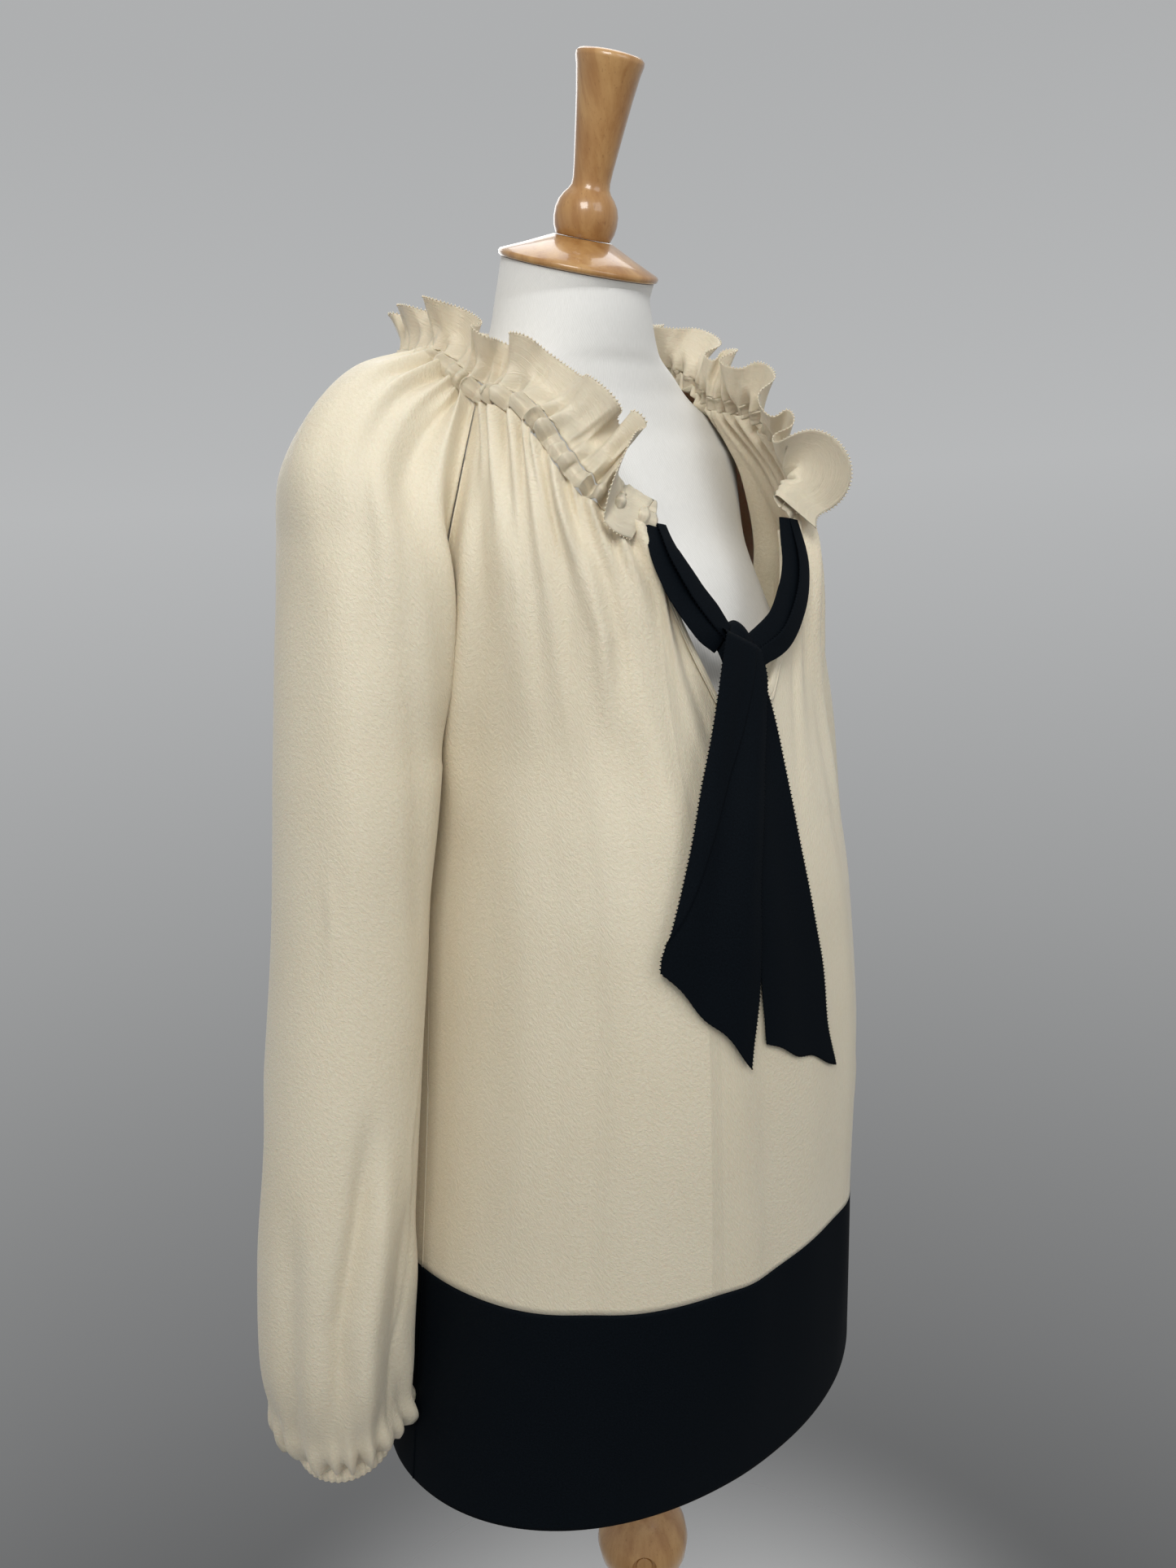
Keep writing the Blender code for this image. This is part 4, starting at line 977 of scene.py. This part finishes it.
def bindingGrid():
    across = np.linspace(-bodyShape["slitAcross"], bodyShape["slitAcross"], 181)
    rows = []
    for part in np.linspace(0, 1, 13):
        drop = bindingShape["width"] * (1 - part)
        stitch = 0.0006 * math.exp(-(((part - 0.35) / 0.08) ** 2))
        out = bindingShape["lift"] - stitch + 0.0004 * math.sin(math.pi * part)
        rows.append(bodyPoints("front", across, frontTop(across) - 0.0002 - drop * 1.35, out))
    for part in np.linspace(0.12, 1, 12):
        out = bindingShape["lift"] - bindingShape["inside"] * part
        tuck = 0.0009 * math.sin(math.pi * min(1, part * 2.2))
        rows.append(bodyPoints("front", across, frontTop(across) + tuck - 0.0030 * part, out))
    return np.array(rows)


binding = clothPiece("slitBinding", bindingGrid(), bindingShape["wall"], np.array((0, 0, 0.60)), cream)
finishPiece(binding, "cream_crepe", "slit_binding")
print("slit binding made")

# tie
tieShape = {
    "rightStrap": (
        (-0.0620, -0.1345, 0.6600, 0.0075, 0.0014), (-0.0645, -0.1425, 0.6450, 0.0105, 0.0022),
        (-0.0560, -0.1510, 0.6200, 0.0140, 0.0026), (-0.0455, -0.1555, 0.6035, 0.0145, 0.0030),
        (-0.0330, -0.1575, 0.5900, 0.0110, 0.0032),
    ),
    "leftStrap": (
        (0.0625, -0.1350, 0.6590, 0.0080, 0.0014), (0.0560, -0.1450, 0.6330, 0.0130, 0.0024),
        (0.0395, -0.1541, 0.6080, 0.0150, 0.0028), (0.0188, -0.1580, 0.5890, 0.0140, 0.0032),
        (-0.0040, -0.1575, 0.5800, 0.0110, 0.0032),
    ),
    # height and x of the left edge, height and x of the right edge, distance off the chest, fold depth
    "frontTail": (
        (0.5930, -0.0300, 0.5800, -0.0030, 0.0060, 0.0000),
        (0.5975, -0.0340, 0.5835, -0.0050, 0.0120, 0.0000),
        (0.5944, -0.0375, 0.5799, -0.0070, 0.0180, 0.0004),
        (0.5680, -0.0473, 0.5658, -0.0060, 0.0185, 0.0012),
        (0.5340, -0.0587, 0.5315, -0.0130, 0.0160, 0.0025),
        (0.5054, -0.0698, 0.5050, -0.0195, 0.0140, 0.0032),
        (0.4742, -0.0804, 0.4742, -0.0270, 0.0120, 0.0035),
        (0.4368, -0.0924, 0.4342, -0.0352, 0.0095, 0.0035),
        (0.4148, -0.0993, 0.4000, -0.0385, 0.0080, 0.0032),
        (0.4048, -0.1021, 0.3710, -0.0412, 0.0072, 0.0030),
        (0.3992, -0.1022, 0.3386, -0.0469, 0.0068, 0.0030),
        (0.3960, -0.1005, 0.3226, -0.0491, 0.0066, 0.0030),
    ),
    "backTail": (
        (0.5700, -0.0330, 0.5640, -0.0040, 0.0100, 0.0002),
        (0.5529, -0.0340, 0.5529, 0.0006, 0.0115, 0.0008),
        (0.5248, -0.0340, 0.5248, 0.0059, 0.0096, 0.0012),
        (0.4711, -0.0350, 0.4711, 0.0101, 0.0062, 0.0016),
        (0.4112, -0.0350, 0.4112, 0.0184, 0.0032, 0.0016),
        (0.3661, -0.0345, 0.3661, 0.0275, 0.0022, 0.0016),
        (0.3440, -0.0335, 0.3300, 0.0300, 0.0020, 0.0016),
        (0.3334, -0.0326, 0.2898, 0.0419, 0.0020, 0.0016),
    ),
    "wall": 0.0005,
    "strapPicots": (0.0024, 0.0008),
    "tailPicots": (0.0026, 0.0009),
    "knotCentre": (-0.0205, -0.1525, 0.5815),
    "knotHalf": (0.0150, 0.0108, 0.0165),
    "knotLean": math.radians(-25),
}


def strapGrid(rows, layers):
    steps = np.linspace(0, 1, 61)
    x, y, height, halfWidth, halfDepth = readSteps(rows, steps)
    centres = np.stack((x, y, height), axis=1)
    along = unitRows(np.gradient(centres, axis=0))
    deep = unitRows(np.cross(along, np.cross(np.array((0.0, -1.0, 0.15)), along)))
    wide = unitRows(np.cross(along, deep))
    side = np.linspace(0, 1, layers * 22 + 1)
    # the sash lies folded on itself: the section zigzags once for each layer
    zigzag = 2 * np.abs((side * layers + 0.5) / 2 % 1 * 2 - 1) - 1
    zigzag = np.sin(zigzag * math.pi / 2) * (1 - 0.10 * side)
    level = 1 - 2 * side
    grid = []
    for place in range(len(steps)):
        crown = 0.35 * halfDepth[place] * (1 - zigzag**2)
        sag = 0.0007 * np.sin(9 * side + 5 * steps[place])
        thick = level * halfDepth[place] * 0.95 + crown + sag
        spread = wide[place] * (zigzag * halfWidth[place])[:, None]
        grid.append(centres[place] + spread + deep[place] * thick[:, None])
    return np.array(grid)


def strapPiece(name, rows, node):
    grid = strapGrid(rows, 3)
    piece = clothPiece(name, grid, tieShape["wall"], np.array((0, 0.0, 0.62)), black)
    edge = picots(name + "Picots", grid[:, 0], grid[:, 2], *tieShape["strapPicots"], black, "black_crepe")
    return finishPiece(piece, "black_crepe", node), edge


strapRight, strapRightPicots = strapPiece("tieStrapRight", tieShape["rightStrap"], "tie_strap_right")
strapLeft, strapLeftPicots = strapPiece("tieStrapLeft", tieShape["leftStrap"], "tie_strap_left")


def knotGrid():
    halfX, halfY, halfZ = tieShape["knotHalf"]
    turn = np.linspace(math.radians(118), math.radians(-118), 90)[:, None]
    side = np.linspace(-1, 1, 64)[None, :]
    pleat = 1 + 0.05 * np.cos(5.2 * side + 1.4 * turn) + 0.03 * np.cos(11 * side - turn)
    waist = 0.84 + 0.16 * np.cos(turn)
    x = halfX * side * waist * (1 - 0.06 * np.sin(turn))
    y = -halfY * np.cos(turn) * pleat * (1 - 0.35 * side**4)
    z = halfZ * np.sin(turn) * (1 - 0.08 * side**2)
    lean = tieShape["knotLean"]
    leaningX = x * math.cos(lean) + z * math.sin(lean)
    leaningZ = z * math.cos(lean) - x * math.sin(lean)
    return np.stack((leaningX, y, leaningZ), axis=-1) + np.array(tieShape["knotCentre"])


knot = clothPiece("tieKnot", knotGrid(), tieShape["wall"], np.array(tieShape["knotCentre"]), black)
finishPiece(knot, "black_crepe", "tie_knot")


def tailGrid(rows, folds, layer):
    steps = np.linspace(0, 1, 111)[:, None]
    side = np.linspace(0, 1, 71)[None, :]
    leftHeight, leftX, rightHeight, rightX, standOff, fold = readSteps(rows, steps)
    wobble = 0.0005 * np.sin(17 * steps + 1.0) * smoothStep(0.5, 1.0, steps)
    x = leftX + (rightX - leftX) * side + wobble
    cut = 0.0022 * np.sin(11 * side + 0.5) * smoothStep(0.85, 1.0, steps) * np.sin(math.pi * side)
    tall = leftHeight + (rightHeight - leftHeight) * side + cut
    # the raw cut end frays in small teeth
    tall = tall - 0.0006 * (np.abs((side * 24) % 1 - 0.5) * 2) * (steps > 0.995)
    pleat = fold * (0.5 + 0.5 * np.sin(2 * math.pi * folds * side + 0.8 * steps))
    turnedEdge = 1.10 - 1.55 * steps
    pleat = pleat + layer * 0.0016 * (1 - smoothStep(turnedEdge - 0.010, turnedEdge + 0.010, side))
    return np.stack((x, chestY(x, tall) - standOff - pleat, tall), axis=-1)


def tailPiece(name, rows, folds, layer, node):
    grid = tailGrid(rows, folds, layer)
    piece = clothPiece(name, grid, tieShape["wall"], np.array((0.0, 0.0, 0.45)), black)
    sizes = tieShape["tailPicots"]
    left = picots(name + "PicotsLeft", grid[:, 0], grid[:, 1], *sizes, black, "black_crepe")
    right = picots(name + "PicotsRight", grid[:, -1], grid[:, -2], *sizes, black, "black_crepe")
    return finishPiece(piece, "black_crepe", node), [left, right]


tailFront, tailFrontPicots = tailPiece("tieTailFront", tieShape["frontTail"], 1.5, 1, "tie_tail_front")
tailBack, tailBackPicots = tailPiece("tieTailBack", tieShape["backTail"], 1.0, 0, "tie_tail_back")
print("tie made")

# dress form
formShape = {
    "rows": (
        (0.080, 0.1600, 0.1120, 0.1180, 2.2), (0.170, 0.1640, 0.1160, 0.1200, 2.2),
        (0.280, 0.1380, 0.1050, 0.0980, 2.2), (0.350, 0.1220, 0.1020, 0.0880, 2.2),
        (0.440, 0.1320, 0.1300, 0.0960, 2.3), (0.510, 0.1410, 0.1450, 0.1060, 2.4),
        (0.560, 0.1410, 0.1320, 0.1120, 2.3), (0.620, 0.1440, 0.1100, 0.1120, 1.9),
        (0.660, 0.1620, 0.0860, 0.0940, 1.5), (0.7078, 0.1640, 0.0620, 0.0800, 1.5),
        (0.7228, 0.1540, 0.0550, 0.0740, 1.5), (0.7368, 0.1340, 0.0510, 0.0690, 1.6),
        (0.7508, 0.1080, 0.0490, 0.0630, 1.7), (0.7656, 0.0860, 0.0490, 0.0590, 1.9),
        (0.776, 0.0680, 0.0520, 0.0560, 2.0), (0.798, 0.0570, 0.0560, 0.0500, 2.0),
        (0.812, 0.0530, 0.0570, 0.0480, 2.0),
    ),
    "neckTilt": math.radians(20), "neckRadius": 0.0520, "neckTop": (0.0, -0.0115, 0.831), "round": 192,
}


def formRing(height, shrink=1.0, drop=0.0):
    halfWidth, front, back, power = readTable(formShape["rows"], height)
    turns = 2 * math.pi * np.arange(formShape["round"] + 1) / formShape["round"] + math.pi / 2
    sine = np.copysign(np.abs(np.sin(turns)) ** (2 / power), np.sin(turns))
    cosine = np.copysign(np.abs(np.cos(turns)) ** (2 / power), np.cos(turns))
    deep = np.where(sine > 0, back, front)
    ring = np.stack((halfWidth * cosine, deep * sine, 0 * turns + height - drop), axis=1)
    return ring * (shrink, shrink, 1)


def formGrid():
    low = formShape["rows"][0][0]
    rings = [formRing(low, size, drop) for size, drop in ((0.90, 0.012), (0.965, 0.006), (0.99, 0.002))]
    rings += [formRing(height) for height in np.linspace(low, 0.70, 90)]
    rings += [formRing(height) for height in np.linspace(0.703, 0.81, 44)]
    axis = np.array((0.0, -math.sin(formShape["neckTilt"]), math.cos(formShape["neckTilt"])))
    side = np.array((1.0, 0.0, 0.0))
    back = np.cross(axis, side)
    turns = (2 * math.pi * np.arange(formShape["round"] + 1) / formShape["round"] + math.pi / 2)[:, None]
    rim = side * np.cos(turns) + back * np.sin(turns)
    top = np.array(formShape["neckTop"]) + formShape["neckRadius"] * rim
    last = rings[-1]
    rings += [last + (top - last) * part for part in np.linspace(0, 1, 9)[1:]]
    return np.array(rings)


def formPiece():
    grid = formGrid()
    rowCount, columnCount = grid.shape[:2]
    reach = np.linalg.norm(np.diff(grid, axis=1), axis=-1).mean(axis=0)
    along = np.broadcast_to(np.concatenate(((0.0,), np.cumsum(reach))), (rowCount, columnCount))
    down = np.broadcast_to(grid[..., 2].mean(axis=1)[:, None], (rowCount, columnCount))
    uv = np.stack((along, down), axis=-1).reshape(-1, 2)
    faces = gridFaces(rowCount, columnCount)
    piece = meshPiece("formBody", grid.reshape(-1, 3) + (0, 0, hemHeight), faces, cover, uv)
    weld(piece)
    turnOutward(piece, closed=True)
    finishPiece(piece, "form_cover", "torso")
    bpy.ops.object.shade_smooth_by_angle(angle=math.radians(40))
    return piece


form = formPiece()
print("dress form made")

# turned wood: each outline is (radius, height) from its foot to its top
woodShape = {
    "cap": ((0.0, 0.0), (0.0528, 0.0), (0.0541, 0.0008), (0.0545, 0.0028), (0.0535, 0.0042), (0.0380, 0.0105),
            (0.0200, 0.0185), (0.0, 0.0185)),
    "finial": (
        (0.0, 0.0189), (0.0180, 0.0189), (0.0187, 0.0197), (0.0205, 0.0240), (0.0213, 0.0290),
        (0.0211, 0.0345), (0.0196, 0.0395), (0.0170, 0.0435), (0.0142, 0.0465), (0.0127, 0.0492),
        (0.0124, 0.0530), (0.0130, 0.0600), (0.0145, 0.0720), (0.0163, 0.0860), (0.0182, 0.1000),
        (0.0205, 0.1140), (0.0218, 0.1190), (0.0217, 0.1212), (0.0200, 0.1228), (0.0150, 0.1236),
        (0.0, 0.1240),
    ),
    "ball": (
        (0.0, -0.057), (0.0195, -0.057), (0.0215, -0.0560), (0.0275, -0.0535), (0.0287, -0.0505),
        (0.0287, -0.0435), (0.0270, -0.0408), (0.0215, -0.0385), (0.0208, -0.0368), (0.0260, -0.0330),
        (0.0330, -0.0245), (0.0382, -0.0120), (0.0400, 0.0), (0.0382, 0.0120), (0.0330, 0.0245),
        (0.0260, 0.0330), (0.0210, 0.0385), (0.0195, 0.0410), (0.0190, 0.0420), (0.0, 0.0420),
    ),
    "base": ((0.0, 0.0), (0.1815, 0.0), (0.1840, 0.0010), (0.1850, 0.0035), (0.1850, 0.0155),
             (0.1835, 0.0195), (0.1790, 0.0220), (0.0450, 0.0280), (0.0330, 0.0292), (0.0310, 0.0300),
             (0.0, 0.0300)),
    "poleRadius": 0.0165,
    "ballHeight": 0.382,
    "steps": 96,
}


def turnedPiece(name, outline, material, place, tilt, *nodes):
    mesh = bpy.data.meshes.new(name)
    points = [(radius, 0.0, height) for radius, height in outline]
    mesh.from_pydata(points, [(step, step + 1) for step in range(len(points) - 1)], [])
    piece = linkNew(name, mesh)
    selectOnly(piece)
    bpy.ops.object.mode_set(mode="EDIT")
    bpy.ops.mesh.select_all(action="SELECT")
    bpy.ops.mesh.spin(steps=woodShape["steps"], angle=2 * math.pi, center=(0, 0, 0), axis=(0, 0, 1))
    bpy.ops.mesh.select_all(action="SELECT")
    bpy.ops.mesh.remove_doubles(threshold=0.00002)
    bpy.ops.mesh.normals_make_consistent(inside=False)
    bpy.ops.object.mode_set(mode="OBJECT")
    piece.location = place
    piece.rotation_euler = (tilt, 0, 0)
    bpy.ops.object.transform_apply(location=True, rotation=True, scale=True)
    piece.data.materials.append(material)
    finishPiece(piece, "beech_wood", *nodes)
    bpy.ops.object.shade_smooth_by_angle(angle=math.radians(50))
    return piece


tilt = formShape["neckTilt"]
neckTop = np.array(formShape["neckTop"]) + (0, 0, hemHeight)
neckTop = neckTop + bodyShape["seamGap"] * np.array((0.0, -math.sin(tilt), math.cos(tilt)))
uprightWood = beechWood("beechUpright")
tiltedWood = beechWood("beechTilted", tilt=-tilt)
turnedPiece("neckCap", woodShape["cap"], tiltedWood, neckTop, tilt, "neck_cap")
turnedPiece("neckFinial", woodShape["finial"], tiltedWood, neckTop, tilt, "finial")
ballPlace = (0, 0, woodShape["ballHeight"])
ball = turnedPiece("poleBall", woodShape["ball"], uprightWood, ballPlace, 0, "pole_ball")
for name, node in (("poleUpper", "pole_upper"), ("poleLower", "pole_lower")):
    low, high = (corner.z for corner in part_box(node))
    radius = woodShape["poleRadius"]
    outline = ((0.0, low), (radius, low), (radius, high), (0.0, high))
    turnedPiece(name, outline, uprightWood, (0, 0, 0), 0, node)
turnedPiece("poleBase", woodShape["base"], uprightWood, (0, 0, 0), 0, "base")


plugShape = {"facing": (-0.66, -0.74, 0.12), "out": 0.040, "recessRadius": 0.0105, "recessLength": 0.012,
             "sunk": 0.0058, "radius": 0.0070, "length": 0.0030, "edge": 0.0008}


def addCylinder(radius, depth, spot, turn):
    bpy.ops.mesh.primitive_cylinder_add(vertices=64, radius=radius, depth=depth, location=spot, rotation=turn)
    return bpy.context.object


# the clamp screw's recess in the ball, with its sunk wooden plug
def ballPlug():
    facing = Vector(plugShape["facing"]).normalized()
    turn = facing.to_track_quat("Z", "Y").to_euler()
    spot = Vector((0, 0, woodShape["ballHeight"])) + facing * plugShape["out"]
    cutter = addCylinder(plugShape["recessRadius"], plugShape["recessLength"], spot, turn)
    cut = ball.modifiers.new("recess", "BOOLEAN")
    cut.operation = "DIFFERENCE"
    cut.object = cutter
    applyAll(ball)
    bpy.data.objects.remove(cutter)
    plug = addCylinder(plugShape["radius"], plugShape["length"], spot - facing * plugShape["sunk"], turn)
    plug.name = "ballPlug"
    bevel = plug.modifiers.new("edge", "BEVEL")
    bevel.width = plugShape["edge"]
    bevel.segments = 3
    applyAll(plug)
    bpy.ops.object.transform_apply(location=True, rotation=True, scale=True)
    plug.data.materials.append(uprightWood)
    finishPiece(plug, "beech_wood")
    bpy.ops.object.shade_smooth_by_angle(angle=math.radians(40))


ballPlug()
print("wood made")

# floor, light, camera
studio = {
    # colour of the air by the steepness of the view, from straight down (-1) to level (0) and above
    "sky": ((-0.736, 0.118), (-0.62, 0.185), (-0.32, 0.330), (0.04, 0.480), (0.35, 0.430)),
    "skyTint": (0.985, 1.0, 1.012),
    "skyStrength": 1.0,
    "floorColor": (0.55, 0.55, 0.55, 1),
    "floorReach": (0.22, 0.60),
    "floorRadius": 6.0,
    "floorHeight": -0.0004,
    "aimHeight": 1.1,
    # place, size, power and colour of each lamp
    "key": ((-0.95, -0.95, 2.15), 0.60, 13.0, (1.0, 0.99, 0.96)),
    "fill": ((0.1, -1.9, 2.2), 1.0, 7.0, (0.97, 0.985, 1.0)),
    "top": ((0.5, 0.4, 2.7), 1.2, 9.0, (1.0, 1.0, 1.0)),
    "rear": ((0.9, 1.8, 2.0), 1.4, 10.0, (1.0, 1.0, 1.0)),
}


def makeFloor():
    bpy.ops.object.select_all(action="DESELECT")
    bpy.ops.mesh.primitive_circle_add(vertices=128, radius=studio["floorRadius"], fill_type="NGON",
                                      location=(0, 0, studio["floorHeight"]))
    floor = bpy.context.object
    floor.name = "studioFloor"
    finish = Finish("floorFinish", Base_Color=studio["floorColor"], Roughness=0.9, Specular_IOR_Level=0.1)
    place = finish.coordinates("Object")
    reach = finish.node("ShaderNodeVectorMath", {"operation": "LENGTH"}, {0: place}).out("Value")
    near, far = studio["floorReach"]
    fade = finish.node("ShaderNodeMapRange", {"interpolation_type": "SMOOTHSTEP"},
                       {"Value": reach, "From Min": near, "From Max": far, "To Min": 1.0, "To Max": 0.0})
    finish.feed("Alpha", fade)
    floor.data.materials.append(finish.material)


def makeWorld():
    world = bpy.data.worlds.new("studioAir")
    bpy.context.scene.world = world
    world.use_nodes = True
    tree = world.node_tree
    back = tree.nodes["Background"]
    place = tree.nodes.new("ShaderNodeTexCoord")
    split = tree.nodes.new("ShaderNodeSeparateXYZ")
    ramp = tree.nodes.new("ShaderNodeValToRGB")
    spread = tree.nodes.new("ShaderNodeMapRange")
    spread.inputs["From Min"].default_value = -1.0
    spread.inputs["From Max"].default_value = 1.0
    stops = ramp.color_ramp.elements
    while len(stops) < len(studio["sky"]):
        stops.new(0.5)
    for stop, (steepness, shade) in zip(stops, studio["sky"]):
        stop.position = (steepness + 1) / 2
        stop.color = [shade * tint for tint in studio["skyTint"]] + [1]
    tree.links.new(place.outputs["Generated"], split.inputs[0])
    tree.links.new(split.outputs["Z"], spread.inputs["Value"])
    tree.links.new(spread.outputs[0], ramp.inputs[0])
    tree.links.new(ramp.outputs[0], back.inputs["Color"])
    back.inputs["Strength"].default_value = studio["skyStrength"]


def makeLight(name):
    place, size, power, color = studio[name]
    data = bpy.data.lights.new(name, "AREA")
    data.size = size
    data.energy = power
    data.color = color
    light = linkNew(name, data)
    light.location = place
    aim = Vector((0, 0, studio["aimHeight"])) - Vector(place)
    light.rotation_euler = aim.to_track_quat("-Z", "Y").to_euler()


view = {"distance": 0.80, "height": 1.257, "azimuth": -41.5, "down": 12.9, "turn": 0.009, "roll": -0.062,
        "lens": 24.959, "sensorWidth": 36}


def makeCamera():
    azimuth = math.radians(view["azimuth"])
    around = np.array((math.sin(azimuth), -math.cos(azimuth), 0.0)) * view["distance"]
    place = around + (0, 0, view["height"])
    ahead = unitRows(np.array((-place[0], -place[1], 0.0)))
    ahead = np.array(Matrix.Rotation(view["turn"], 3, "Z") @ Vector(ahead))
    down = math.radians(view["down"])
    facing = ahead * math.cos(down) + np.array((0, 0, -math.sin(down)))
    right = unitRows(np.cross(facing, (0, 0, 1)))
    up = np.cross(right, facing)
    rolled = right * math.cos(view["roll"]) + up * math.sin(view["roll"])
    upright = up * math.cos(view["roll"]) - right * math.sin(view["roll"])
    data = bpy.data.cameras.new("camera")
    data.lens = view["lens"]
    data.sensor_width = view["sensorWidth"]
    camera = linkNew("camera", data)
    turn = Matrix((rolled, upright, -facing)).transposed()
    camera.matrix_world = Matrix.Translation(Vector(place)) @ turn.to_4x4()
    bpy.context.scene.camera = camera


makeFloor()
makeWorld()
for lamp in ("key", "fill", "top", "rear"):
    makeLight(lamp)
makeCamera()
bpy.context.scene.view_settings.view_transform = "Standard"
print("studio made")
